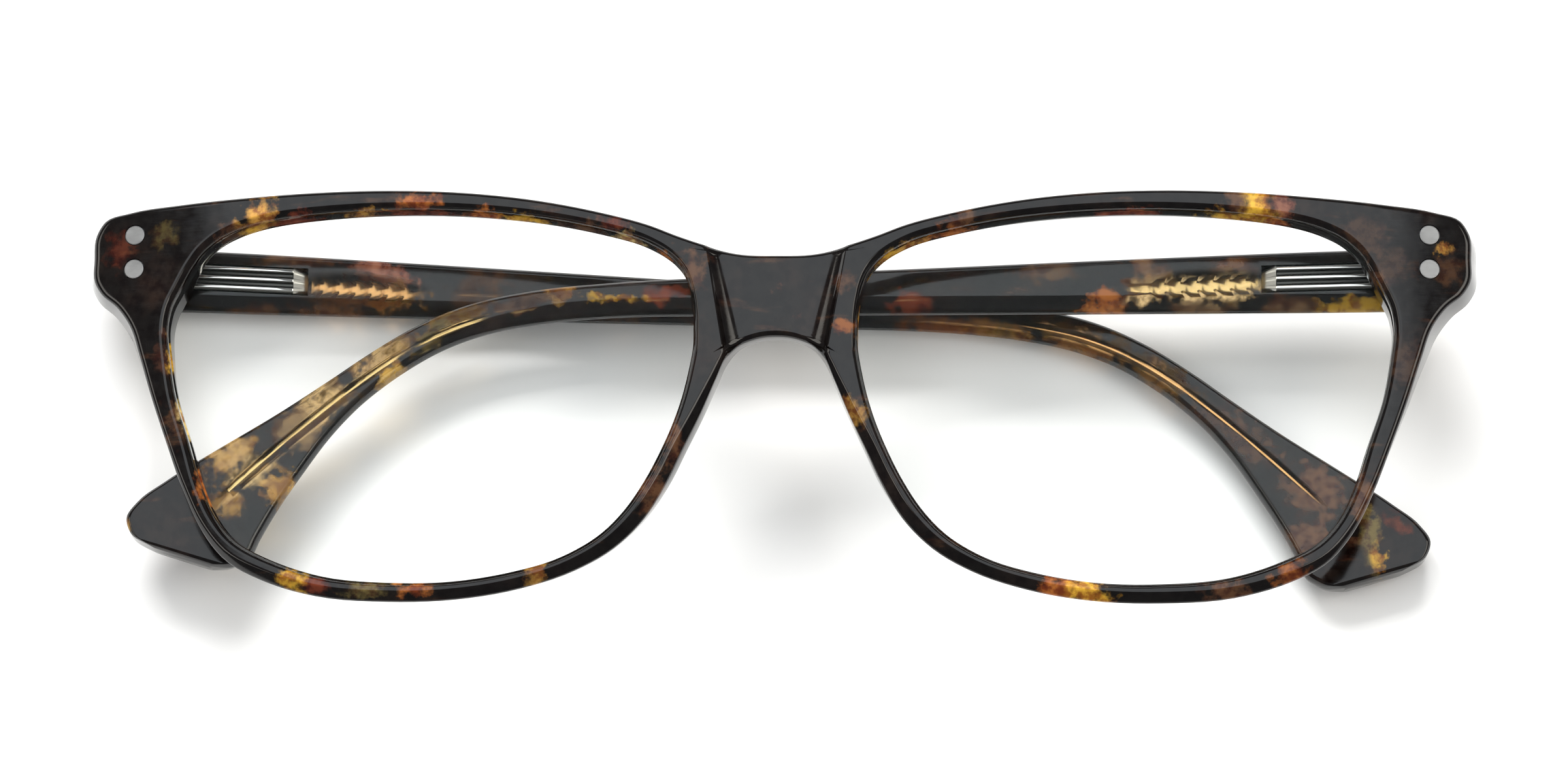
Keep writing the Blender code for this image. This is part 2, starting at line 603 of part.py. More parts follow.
def core_loft(start, end, grow):
    """The core wire, or the channel that it lies in when it is grown."""
    rows = smooth_rows(TEMPLE_ROWS, 4)
    places = [mix(start, end, i / CORE_STATIONS) for i in range(CORE_STATIONS + 1)]
    places = sorted({start, end, CORE_FLAT_END_S, CORE_ROUND_S, *places})
    rings = []
    for s in places:
        y = core_centre(s, rows)
        slope = core_centre(min(s + 1.0, end), rows) - core_centre(max(s - 1.0, start), rows)
        run = min(s + 1.0, end) - max(s - 1.0, start)
        length = math.hypot(run, slope)
        across = (-slope / length, run / length)
        near_case = case_y(s) - y
        y += near_case * (1.0 - ease(s, CORE_ROOT_S, CORE_ROUND_S))
        roundness = ease(s, CORE_FLAT_END_S, CORE_ROUND_S)
        half_y = mix(CORE_FLAT_HALF_Y, CORE_RADIUS, roundness) + grow
        half_w = mix(CORE_FLAT_HALF_W, CORE_RADIUS, roundness) + grow
        ring = []
        for k in range(CORE_SIDES):
            angle = 2 * math.pi * (k + 0.5) / CORE_SIDES
            v, w = half_y * math.cos(angle), half_w * math.sin(angle)
            w += CORE_W + temple_shift(s)
            ring.append(temple_point(s + across[0] * v, y + across[1] * v, w))
        rings.append(ring)
    return loft(rings)


def make_core_wire(side, word, parts, pivot, silver):
    bm = core_loft(CORE_ROOT_S, CORE_END_S, 0.0)
    finish(bm, f"core_wire_{word}", pivot, silver, parts, side, math.radians(50))


def make_spring_case(side, word, parts, cutters, pivot, silver):
    rings = []
    for s, drop in ((CASE_S[0], 0.0), (CASE_S[1] - 1.0, 0.0), (CASE_S[1], 0.8)):
        inner = CASE_W[0] + drop
        half = CASE_HALF_Y - 0.5 * drop
        section = (
            (-half, CASE_W[1]), (half, CASE_W[1]), (half, inner + CASE_CHAMFER),
            (half - CASE_CHAMFER, inner), (-half + CASE_CHAMFER, inner), (-half, inner + CASE_CHAMFER),
        )
        rings.append([temple_point(s, case_y(s) + y, w) for y, w in section])
    case = finish(loft(rings), f"spring_case_{word}", pivot, silver, parts, side, math.radians(20))
    cavity = temple_box((CASE_S[0] - 1.0, CAVITY_END_S - 0.8), CAVITY_HALF_Y, CAVITY_W)
    cut(case, cavity, f"case_cavity_{word}", pivot, cutters, side)


def rod_rings(radius, s_range, sides=12):
    """Circles on the rod's sloping line."""
    rings = []
    for s in s_range:
        ring = []
        for k in range(sides):
            angle = 2 * math.pi * k / sides
            y = case_y(s) + radius * math.cos(angle)
            ring.append(temple_point(s, y, ROD_W + radius * math.sin(angle)))
        rings.append(ring)
    return rings


def make_slider(side, word, parts, cutters, pivot, steel):
    """The temple's knuckle with the neck and rod that run into the case."""
    outline = [(-s, -w) for s, w in neck_outline(*NECK_W)]
    bm = prism(outline, HINGE_Y - KNUCKLE_HALF, HINGE_Y + KNUCKLE_HALF)
    for vert in bm.verts:
        vert.co.y -= CASE_SLOPE * max(0.0, -vert.co.x - BARREL_RADIUS)
    slider = finish(bm, f"hinge_slider_{word}", pivot, steel, parts, side, math.radians(40))
    rod = loft(rod_rings(ROD_RADIUS, (NECK_END_S - 0.3, ROD_END_S)))
    cut(slider, rod, f"slider_rod_{word}", pivot, cutters, side, "UNION")
    hole = cylinder(SCREW_HOLE, HINGE_Y - 2.0, HINGE_Y + 2.0, 1, (0.0, 0.0), 16)
    cut(slider, hole, f"slider_hole_{word}", pivot, cutters, side)


def neck_outline(near, far):
    """Barrel and neck, in s and w: the neck leaves the barrel between w near and far."""
    start = math.degrees(math.asin(near / BARREL_RADIUS))
    barrel = arc(BARREL_RADIUS, start, start - 270.0, 16)
    join = (0.0, far)
    return [(NECK_END_S, near), *barrel, join, (NECK_END_S, far)]


def make_stop(side, word, parts, cutters, pivot, steel):
    stop = finish(temple_box(STOP_S, STOP_HALF_Y, STOP_W), f"spring_stop_{word}", pivot, steel, parts, side)
    hole = loft(rod_rings(STOP_HOLE, (STOP_S[0] - 0.5, STOP_S[1] + 0.5)))
    cut(stop, hole, f"stop_hole_{word}", pivot, cutters, side)


def make_nut(side, word, parts, pivot, steel):
    outside = rod_rings(NUT_RADIUS, NUT_S)
    inside = rod_rings(NUT_HOLE, NUT_S[::-1])
    bm = loft(outside + inside, closed=True)
    finish(bm, f"rod_nut_{word}", pivot, steel, parts, side, math.radians(40))


def make_spring(side, word, parts, pivot, steel):
    """A coil round the rod, between the stop and the nut."""
    curve = bpy.data.curves.new(f"flex_spring_{word}", "CURVE")
    curve.dimensions = "3D"
    curve.bevel_depth = SPRING_WIRE * MM
    curve.bevel_resolution = 1
    curve.use_fill_caps = True
    count = SPRING_TURNS * SPRING_STEPS + 1
    line = curve.splines.new("POLY")
    line.points.add(count - 1)
    for i, point in enumerate(line.points):
        s = mix(*SPRING_S, i / (count - 1))
        angle = 2 * math.pi * i / SPRING_STEPS
        y = case_y(s) + SPRING_RADIUS * math.cos(angle)
        x, y, z = temple_point(s, y, ROD_W + SPRING_RADIUS * math.sin(angle))
        point.co = (side * x * MM, y * MM, z * MM, 1.0)
    spring = bpy.data.objects.new(f"flex_spring_{word}", curve)
    curve.materials.append(steel)
    parts.objects.link(spring)
    spring.parent = pivot


def new_empty(name, parts, parent, location, turn):
    empty = bpy.data.objects.new(name, None)
    parts.objects.link(empty)
    empty.parent = parent
    empty.location = [value * MM for value in location]
    empty.rotation_euler = (0.0, turn, 0.0)
    empty.empty_display_size = 0.005
    return empty


def main():
    clear_scene()
    parts = new_collection("eyeglasses_frame")
    cutters = new_collection("cutters")
    acetate = new_material("tortoise_acetate", (0.06, 0.03, 0.02), 0.12, 0.0)
    clear = new_material("clear_lens", (0.9, 0.93, 0.95), 0.05, 0.0, 0.25)
    silver = new_material("nickel_silver", (0.62, 0.61, 0.58), 0.2, 1.0)
    steel = new_material("steel", (0.5, 0.5, 0.52), 0.3, 1.0)
    frame = new_empty("front_frame", parts, None, (-CENTRE_X, -CENTRE_Y, LIFT), -FRONT_TILT)
    make_front(parts, cutters, frame, acetate)
    for side, word, fold in ((1, "right", RIGHT_FOLD), (-1, "left", LEFT_FOLD)):
        make_lens(side, word, parts, frame, clear)
        make_nose_pad(side, word, parts, frame, acetate)
        for y, place in zip(RIVET_YS, ("lower", "upper")):
            make_rivet(side, word, y, place, parts, cutters, frame, silver)
        make_hinge_plate(side, word, parts, cutters, frame, steel)
        make_hinge_screw(side, word, parts, cutters, frame, steel)
        pivot = new_empty(f"hinge_axis_{word}", parts, frame, (side * AXIS_X, 0.0, AXIS_Z), fold)
        make_slider(side, word, parts, cutters, pivot, steel)
        make_nut(side, word, parts, pivot, steel)
        make_temple(side, word, parts, cutters, pivot, acetate)
        make_spring_case(side, word, parts, cutters, pivot, silver)
        make_stop(side, word, parts, cutters, pivot, steel)
        make_spring(side, word, parts, pivot, steel)
        make_core_wire(side, word, parts, pivot, silver)


main()
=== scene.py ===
import json
import math

import bmesh
import bpy
from mathutils import Matrix, Vector


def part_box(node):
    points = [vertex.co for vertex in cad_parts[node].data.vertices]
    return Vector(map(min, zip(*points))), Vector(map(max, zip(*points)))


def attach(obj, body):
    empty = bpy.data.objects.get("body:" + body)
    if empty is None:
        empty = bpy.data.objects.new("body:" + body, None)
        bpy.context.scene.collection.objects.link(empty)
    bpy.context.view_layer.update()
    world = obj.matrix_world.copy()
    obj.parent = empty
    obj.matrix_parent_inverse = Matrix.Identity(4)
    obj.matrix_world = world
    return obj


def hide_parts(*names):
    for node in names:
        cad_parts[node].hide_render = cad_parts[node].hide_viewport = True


# Looks for the folded tortoiseshell eyeglasses frame. Every shape is worked out
# in millimetres in the front's own frame or in a temple's, and then placed by the
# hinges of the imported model. Left and right are the viewer's.

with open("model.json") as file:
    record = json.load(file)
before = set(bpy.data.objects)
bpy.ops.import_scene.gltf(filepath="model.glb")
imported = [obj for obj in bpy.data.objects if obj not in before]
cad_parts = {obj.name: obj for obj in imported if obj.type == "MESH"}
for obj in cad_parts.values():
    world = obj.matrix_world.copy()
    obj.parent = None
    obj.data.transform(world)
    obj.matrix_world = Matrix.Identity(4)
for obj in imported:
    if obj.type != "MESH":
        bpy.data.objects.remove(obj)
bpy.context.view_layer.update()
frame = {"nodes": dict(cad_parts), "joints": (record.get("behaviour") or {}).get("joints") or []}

MM = 0.001

# The front, as in the CAD: outlines, thickness and the saddle of the bridge.
BASE_RADIUS = 350.0
RIM_THICKNESS = 4.0
END_BACK_Z = -11.5
END_START_X, END_FULL_X = 57.5, 61.5
END_START_Y, END_FULL_Y = 2.0, 8.0
LEAN_FADE_X = 52.0, 66.0
END_FLARE, FLARE_X = 0.17, (60.0, 68.0)
FACE_SET_BACK = 0.1
INNER_BEVEL_WIDTH, INNER_BEVEL_DEPTH = 0.5, 0.7
BACK_BEVEL = 0.35
LOWER_UNDERCUT, LOWER_SWELL = 0.16, 0.4
LOWER_RIM_DOWN, LOWER_RIM_END_X = (6.0, 14.0), (52.0, 60.0)
GROOVE_FRONT, GROOVE_APEX, GROOVE_BACK, GROOVE_DEEP = 1.5, 2.2, 2.9, 0.65
CREASE_LOW, CREASE_HIGH = (5.15, 4.5), (6.85, 14.2)
SADDLE_WALL, SADDLE_FILLET = (0.5, 0.75), (0.95, 3.4)
SADDLE_FADE, CREASE_SOFT = 0.3, 0.08
RIM_STEPS, LENS_STEPS = 5, 3

# Where a section's points lie on the face, in millimetres past the crease.
CREASE_OFFSETS = (
    -0.3, -0.14, -0.06, 0.0, 0.06, 0.14, 0.25, 0.4, 0.6, 0.85, 1.15, 1.5, 1.9, 2.4, 2.9, 3.4,
)
NO_CREASE_SHARE = 0.6
BACK_SHARES = (0.9, 0.8, 0.7, 0.6, 0.5, 0.4, 0.3, 0.2, 0.1)

# Half of the front, from the top of the bridge round the rim to the arch:
# outer x, outer y, lens opening x, lens opening y, width of the outer bevel.
RIM_ROWS = (
    (0.0, 14.4, 9.55, 13.0, 0.3), (3.4, 14.5, 10.0, 13.55, 0.3), (6.6, 15.12, 10.8, 14.3, 0.3),
    (9.6, 16.1, 12.0, 15.1, 0.3), (12.9, 17.4, 14.0, 16.05, 0.3), (17.4, 18.65, 17.7, 17.1, 0.3),
    (23.8, 20.0, 23.6, 18.3, 0.3), (31.0, 20.95, 30.8, 19.15, 0.3), (39.0, 21.42, 38.6, 19.5, 0.3),
    (47.0, 21.43, 46.0, 19.32, 0.3), (54.0, 21.15, 51.6, 18.75, 0.3),
    (60.5, 20.7, 55.2, 17.75, 0.3), (65.6, 20.1, 57.3, 16.5, 0.3), (68.1, 19.35, 58.4, 15.4, 0.3),
    (69.0, 17.9, 59.2, 14.2, 0.3), (69.15, 15.4, 59.9, 12.9, 0.3), (69.05, 13.1, 60.5, 11.7, 0.3),
    (68.3, 11.8, 60.95, 10.8, 0.3), (66.7, 10.4, 61.3, 9.7, 0.3), (65.3, 8.4, 61.5, 8.0, 0.3),
    (64.2, 5.2, 61.2, 5.0, 0.3), (63.0, 1.3, 60.55, 1.2, 0.3), (61.2, -3.9, 59.0, -3.8, 0.3),
    (59.4, -8.8, 57.55, -8.5, 0.4), (57.7, -12.4, 56.0, -11.7, 0.5),
    (55.2, -15.5, 53.9, -14.1, 0.6), (51.3, -17.7, 50.5, -16.0, 0.7),
    (45.6, -19.5, 45.2, -17.85, 0.75), (38.6, -20.2, 38.6, -18.65, 0.75),
    (31.6, -20.1, 31.8, -18.65, 0.75), (25.2, -19.1, 25.6, -17.7, 0.75),
    (19.9, -17.4, 21.0, -16.3, 0.8), (16.0, -15.2, 17.5, -14.3, 0.9),
    (13.0, -12.3, 15.0, -11.85, 1.0), (10.7, -8.8, 12.9, -8.75, 1.05),
    (8.9, -5.07, 11.1, -5.2, 1.0), (7.3, -1.74, 9.85, -2.1, 0.85), (5.87, 1.6, 8.95, 1.0, 0.6),
    (4.85, 3.85, 8.45, 3.4, 0.45), (3.6, 5.25, 8.25, 4.6, 0.4), (1.9, 5.98, 8.2, 5.4, 0.4),
    (0.0, 6.2, 8.2, 6.3, 0.4),
)
# The bridge between the two, on the mirror plane: height, lens opening x, y.
BRIDGE_ROWS = (
    (6.9, 8.2, 6.9), (7.7, 8.2, 7.7), (8.5, 8.27, 8.5), (9.3, 8.35, 9.3),
    (10.1, 8.5, 10.1), (10.9, 8.65, 10.9), (11.8, 8.85, 11.55), (12.7, 9.05, 12.1),
    (13.6, 9.3, 12.6),
)
LENS_FACE_GAP, LENS_APEX, LENS_FRONT, LENS_BACK = 0.12, 0.5, 1.55, 2.85
LENS_RINGS = (0.85, 0.6, 0.3)

# Hinge and rivets, in the front's frame.
AXIS_Z = -13.5
HINGE_Y = 15.55
PLATE_X, PLATE_Y = (62.7, 67.3), (12.6, 19.2)
PLATE_FRONT_Z, FIT = -10.72, 0.06
RIVET_X, RIVET_YS = 65.05, (14.2, 17.7)
RIVET_HEAD, RIVET_HEAD_HEIGHT, RIVET_SHANK, RIVET_TAIL_Z = 1.0, 0.6, 0.65, -11.0
RIVET_SET_BACK, RIVET_SIDES = 0.08, 64
# The head's edge: how far in from its radius, and how far down.
RIVET_EDGE = ((0.98, 0.0), (0.55, 0.0), (0.1, 0.0), (0.03, -0.03), (0.0, -0.1))

# Nose pads: rows of RIM_ROWS that they run along, and their section.
PAD_ROWS = (33, 39)
PAD_FRONT_Z, PAD_DEPTH, PAD_MOST_WIDTH = -4.35, 4.2, 2.6
PAD_PROFILE = (
    (0.10, 0.0), (0.92, 0.0), (1.05, 0.25), (1.05, 0.6),
    (0.9, 0.88), (0.65, 1.0), (0.42, 0.88), (0.22, 0.5),
)

# Temple, in its own frame: s from the hinge axis to the tip, y up, w outwards.
TEMPLE_ROWS = (
    (-1.7, 18.4, -1.7, 12.0), (8.0, 18.05, 8.0, 11.8), (25.0, 17.25, 25.0, 11.55),
    (50.0, 15.95, 50.0, 11.25), (70.0, 14.95, 70.0, 11.0), (82.0, 14.2, 81.5, 10.75),
    (90.0, 13.3, 88.5, 10.1), (96.5, 11.75, 94.2, 8.95), (101.8, 9.35, 98.9, 7.1),
    (106.0, 6.7, 102.8, 4.7), (110.0, 3.85, 106.2, 2.0), (115.0, 0.4, 109.4, -1.4),
    (121.0, -3.4, 112.4, -5.6), (126.4, -6.9, 115.2, -10.0), (129.0, -8.9, 116.6, -12.6),
    (130.1, -10.6, 117.5, -14.4), (129.6, -12.2, 118.9, -15.3), (127.7, -13.5, 120.9, -15.6),
)
TEMPLE_INNER_W, TEMPLE_OUTER_W = 0.5, 4.5
TIP_THINNING = 0.5
TIP_CURVE_START, TIP_CURVE_END, TIP_CURVE = 85.0, 128.0, 1.2
EDGE_BEVEL, OUTER_EDGE_BEVEL = 0.35, 0.6
LOWER_BEVEL_BAR, LOWER_BEVEL_TIP, LOWER_EDGE_LEAN = 1.7, 0.7, 0.5
TEMPLE_STEPS = 6
TIP_INSETS = (0.04, 0.14, 0.3, 0.55)
KNUCKLE_CLEARANCE = 1.75
CUT_FROM_S, CUT_FROM_W, CUT_Y = -3.0, -1.0, (5.0, 25.0)

# Spring case and core wire, in the temple's frame.
CASE_S, CASE_HALF_Y, CASE_W = (2.0, 16.1), 1.35, (0.15, 2.35)
CAVITY_END_S, CAVITY_HALF_Y, CAVITY_W = 14.7, 0.85, (0.58, 1.85)
CASE_SLOPE, CASE_NARROWING = 0.0355, 0.35
FLUTE_DEPTH, EDGE_DROP, EDGE_DROP_AT_END = 0.35, 0.6, 0.2
# Its slanted end: distance before the end, drop of the top. The flutes end at the second.
CASE_SLANT = ((1.5, 0.0), (1.4, 0.06), (0.15, 0.9), (0.0, 1.0))
# Across its top, as shares of its half height, and whether the point is on a ridge.
CASE_PROFILE = (
    (-0.82, True), (-0.62, True), (-0.46, False), (-0.26, False), (-0.1, True),
    (0.1, True), (0.26, False), (0.46, False), (0.62, True), (0.82, True),
)
CORE_W = 2.6
CORE_ROOT_S, CORE_FLAT_END_S, CORE_ROUND_S, CORE_END_S = 16.45, 28.0, 31.0, 120.0
CORE_FLAT_HALF_Y, CORE_FLAT_HALF_W, CORE_RADIUS = 1.05, 0.45, 0.65
CHEVRON_PITCH, CHEVRON_POINT, CHEVRON_WAIST = 1.65, 0.75, 0.55
# One chevron: share of the pitch, width.
CHEVRON = ((0.0, 1.0), (0.6, 0.95), (0.78, CHEVRON_WAIST), (0.94, CHEVRON_WAIST))
WIRE_SPANS, WIRE_SIDES, FLAT_POWER = 90, 24, 0.35


def mix(a, b, t):
    return a + (b - a) * t


def ease(value, start, end):
    """0 before start, 1 after end, smooth between."""
    t = min(1.0, max(0.0, (value - start) / (end - start)))
    return t * t * (3.0 - 2.0 * t)


# Placing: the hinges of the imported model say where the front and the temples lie.

def joint_named(name):
    return next(joint for joint in frame["joints"] if joint["name"] == name)


def front_matrix():
    left = Vector(joint_named("fold_left")["pos_m"])
    right = Vector(joint_named("fold_right")["pos_m"])
    tilt = math.atan2(right.z - left.z, right.x - left.x)
    low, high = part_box("rivet_upper_right")
    origin = (left + right) / 2
    origin.y = (low.y + high.y) / 2 - RIVET_YS[1] * MM
    turn = Matrix.Rotation(-tilt, 4, "Y")
    return Matrix.Translation(origin) @ turn @ Matrix.Translation((0.0, 0.0, -AXIS_Z * MM))


FRONT = front_matrix()


def temple_frame(side, word):
    """The temple's origin on its hinge axis, and its turn about Y."""
    origin = Vector(joint_named(f"fold_{word}")["pos_m"])
    origin.y = FRONT.translation.y
    turn = side * math.asin(Vector(joint_named(f"flex_{word}")["axis"]).z)
    return origin, turn


def front_place(side):
    """From the front's millimetres to the model's metres, mirrored for the left."""
    return FRONT @ Matrix.Diagonal((side * MM, MM, MM, 1.0))


def temple_place(side, word):
    origin, turn = temple_frame(side, word)
    scale = Matrix.Diagonal((-side * MM, MM, -MM, 1.0))
    return Matrix.Translation(origin) @ Matrix.Rotation(turn, 4, "Y") @ scale


# Mesh helpers.

def smooth_rows(rows, steps, before=None, after=None):
    """Rows on one smooth curve through the given rows, with steps spans to each of theirs."""
    first = before or tuple(2 * a - b for a, b in zip(rows[0], rows[1]))
    last = after or tuple(2 * a - b for a, b in zip(rows[-1], rows[-2]))
    padded = [first, *rows, last]
    gaps = [max(math.dist(a[:2], b[:2]), 0.3) for a, b in zip(padded, padded[1:])]
    found = []
    for i in range(1, len(padded) - 2):
        p0, p1, p2, p3 = padded[i - 1:i + 3]
        g0, g1, g2 = gaps[i - 1:i + 2]
        for step in range(steps):
            t = step / steps
            row = []
            for a, b, c, d in zip(p0, p1, p2, p3):
                tangent_1 = g1 * ((b - a) / g0 - (c - a) / (g0 + g1) + (c - b) / g1)
                tangent_2 = g1 * ((c - b) / g1 - (d - b) / (g1 + g2) + (d - c) / g2)
                row.append(
                    (2 * t**3 - 3 * t**2 + 1) * b
                    + (t**3 - 2 * t**2 + t) * tangent_1
                    + (3 * t**2 - 2 * t**3) * c
                    + (t**3 - t**2) * tangent_2
                )
            found.append(tuple(row))
    found.append(tuple(rows[-1]))
    return found


def normals_of(points, closed):
    """Unit normals on the left-hand side of a line of points."""
    count = len(points)
    found = []
    for i in range(count):
        before = points[(i - 1) % count] if closed or i else points[0]
        after = points[(i + 1) % count] if closed or i < count - 1 else points[-1]
        dx, dy = after[0] - before[0], after[1] - before[1]
        length = math.hypot(dx, dy)
        found.append((-dy / length, dx / length))
    return found


def rounded_corner(before, corner, after, cut, steps=4):
    """Points of a curve that replaces a corner over a length of cut on each side."""
    ends = []
    for other in (before, after):
        length = math.dist(corner, other)
        share = min(cut / length, 0.45) if length > 1e-9 else 0.0
        ends.append([mix(c, o, share) for c, o in zip(corner, other)])
    start, end = ends
    line = []
    for k in range(steps + 1):
        t = k / steps
        line.append([
            (1 - t) ** 2 * a + 2 * t * (1 - t) * c + t * t * b
            for a, c, b in zip(start, corner, end)
        ])
    return line


def rounded_line(corners):
    """An open line through corners (a, b, cut), rounded at each but the two ends."""
    line = [list(corners[0][:2])]
    for before, corner, after in zip(corners, corners[1:], corners[2:]):
        line += rounded_corner(before[:2], corner[:2], after[:2], corner[2])
    line.append(list(corners[-1][:2]))
    return line


def rounded_loop(corners):
    """A closed line through corners (a, b, cut), rounded at each."""
    line = []
    for i, corner in enumerate(corners):
        after = corners[(i + 1) % len(corners)]
        line += rounded_corner(corners[i - 1][:2], corner[:2], after[:2], corner[2])
    return line


def loft(rings, closed=False, capped=True):
    bm = bmesh.new()
    made = [[bm.verts.new(point) for point in ring] for ring in rings]
    count = len(made[0])
    pairs = list(zip(made, made[1:]))
    if closed:
        pairs.append((made[-1], made[0]))
    for one, two in pairs:
        for i in range(count):
            j = (i + 1) % count
            bm.faces.new((one[i], one[j], two[j], two[i]))
    if capped and not closed:
        bm.faces.new(made[0])
        bm.faces.new(made[-1])
    return bm


def box(low, high):
    bm = bmesh.new()
    bmesh.ops.create_cube(bm, size=1.0)
    size = [b - a for a, b in zip(low, high)]
    centre = [(a + b) / 2 for a, b in zip(low, high)]
    place = Matrix.Translation(centre) @ Matrix.Diagonal((*size, 1.0))
    bmesh.ops.transform(bm, matrix=place, verts=bm.verts)
    return bm


def upright_cylinder(radius, start, end, axis, centre, sides=48):
    """A cylinder along Y or Z between start and end."""
    bm = bmesh.new()
    bmesh.ops.create_cone(
        bm, cap_ends=True, segments=sides, radius1=radius, radius2=radius, depth=end - start
    )
    turn = Matrix.Rotation(math.pi / 2, 4, "X") if axis == 1 else Matrix.Identity(4)
    place = list(centre)
    place.insert(axis, (start + end) / 2)
    bmesh.ops.transform(bm, matrix=Matrix.Translation(place) @ turn, verts=bm.verts)
    return bm


def to_mesh(bm, name, place):
    bmesh.ops.transform(bm, matrix=place, verts=bm.verts)
    bmesh.ops.recalc_face_normals(bm, faces=bm.faces)
    mesh = bpy.data.meshes.new(name)
    bm.to_mesh(mesh)
    bm.free()
    return mesh


def finish(bm, name, place, material, body, nodes, sharp=35.0, cuts=(), levels=0):
    """Makes the shown piece: placed, cut, shaded, and standing for its CAD nodes."""
    obj = bpy.data.objects.new(name, to_mesh(bm, name, place))
    bpy.context.scene.collection.objects.link(obj)
    cutters = []
    for k, (shape, cutter_place) in enumerate(cuts):
        cutter = bpy.data.objects.new(f"{name}_cutter_{k}", to_mesh(shape, "cutter", cutter_place))
        bpy.context.scene.collection.objects.link(cutter)
        modifier = obj.modifiers.new("cut", "BOOLEAN")
        modifier.object = cutter
        cutters.append(cutter)
    if levels:
        modifier = obj.modifiers.new("smooth", "SUBSURF")
        modifier.levels = levels
        modifier.render_levels = levels
    if obj.modifiers:
        bpy.context.view_layer.update()
        evaluated = obj.evaluated_get(bpy.context.evaluated_depsgraph_get())
        obj.data = bpy.data.meshes.new_from_object(evaluated)
        obj.modifiers.clear()
    for cutter in cutters:
        bpy.data.objects.remove(cutter)
    obj.data.shade_smooth()
    obj.data.set_sharp_from_angle(angle=math.radians(sharp))
    obj.data.materials.clear()
    obj.data.materials.append(material)
    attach(obj, body)
    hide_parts(*nodes)


# The front's own surface.

def surface_z(x):
    return math.sqrt(BASE_RADIUS**2 - x * x) - BASE_RADIUS


def crease_rise(y):
    """Where a height lies along the crease: 0 at its low end, 1 at its high end."""
    return (y - CREASE_LOW[1]) / (CREASE_HIGH[1] - CREASE_LOW[1])


def crease_x(y):
    return mix(CREASE_LOW[0], CREASE_HIGH[0], crease_rise(y))


def saddle(x, y):
    """How far the bridge is let in: a soft edge, then a steep wall and a hollow fillet."""
    inside = crease_x(y) - abs(x)
    if inside < -5 * CREASE_SOFT:
        return 0.0
    inside = (inside + math.hypot(inside, CREASE_SOFT)) / 2
    depth = sum(
        deep * (1.0 - (1.0 - min(1.0, inside / width)) ** 2)
        for deep, width in (SADDLE_WALL, SADDLE_FILLET)
    )
    return depth * (1.0 - SADDLE_FADE * min(1.0, max(0.0, crease_rise(y))))


def thickness(x, y):
    """The rim's thickness, which grows in the end piece down to a flat back."""
    extra = surface_z(x) - END_BACK_Z - RIM_THICKNESS
    share = ease(x, END_START_X, END_FULL_X) * ease(y, END_START_Y, END_FULL_Y)
    return RIM_THICKNESS + extra * share


def behind(x, y, depth):
    """The point a given depth behind the front surface at x, y."""
    lean = x / BASE_RADIUS * (1.0 - ease(x, *LEAN_FADE_X)) - END_FLARE * ease(x, *FLARE_X)
    return (x - depth * lean, y, surface_z(x) - depth)


def rim_stations(steps):
    """Round half of the front: outer point and normal, opening point and normal, bevel."""
    mirrored = (-RIM_ROWS[1][0], RIM_ROWS[1][1], *RIM_ROWS[0][2:])
    below = (-RIM_ROWS[-2][0], RIM_ROWS[-2][1], *RIM_ROWS[-1][2:])
    rows = smooth_rows(RIM_ROWS, steps, mirrored, below)
    outer = [row[:2] for row in rows]
    outer_normals = normals_of(outer, False)
    outer_normals[0], outer_normals[-1] = (0.0, 1.0), (0.0, -1.0)
    stations = [[o, n, row[2:4], row[4]] for o, n, row in zip(outer, outer_normals, rows)]
    for height, x, y in BRIDGE_ROWS:
        stations.append([(0.0, height), (0.0, 0.0), (x, y), 0.0])
    inner_normals = normals_of([station[2] for station in stations], True)
    for station, normal in zip(stations, inner_normals):
        station.insert(3, normal)
    return stations


def crease_crossing(face_in, face_out):
    """Where the crease crosses the face between its two edges, as a share of the way."""
    if face_out[0] >= crease_x(face_out[1]):
        return None
    low, high = 0.0, 1.0
    for _ in range(24):
        middle = (low + high) / 2
        x, y = (mix(a, b, middle) for a, b in zip(face_in, face_out))
        if x > crease_x(y):
            low = middle
        else:
            high = middle
    return low


def face_shares(face_in, face_out):
    """Places across the face: closer together over the crease, its wall and its fillet."""
    crossing = crease_crossing(face_in, face_out)
    span = math.dist(face_in, face_out)
    if crossing is None:
        crossing = NO_CREASE_SHARE
        span = max(span, 3 * SADDLE_FILLET[1])
    furthest, before = CREASE_OFFSETS[-1], -CREASE_OFFSETS[0]
    reach = min(furthest / span, 0.9 * (1.0 - crossing)) / furthest
    back = min(before / span, 0.5 * crossing) / before
    near = [crossing + offset * (reach if offset > 0 else back) for offset in CREASE_OFFSETS]
    first = [near[0] * k / 3 for k in range(3)]
    end = [mix(near[-1], 1.0, k / 3) for k in (1, 2, 3)]
    return first + near + end


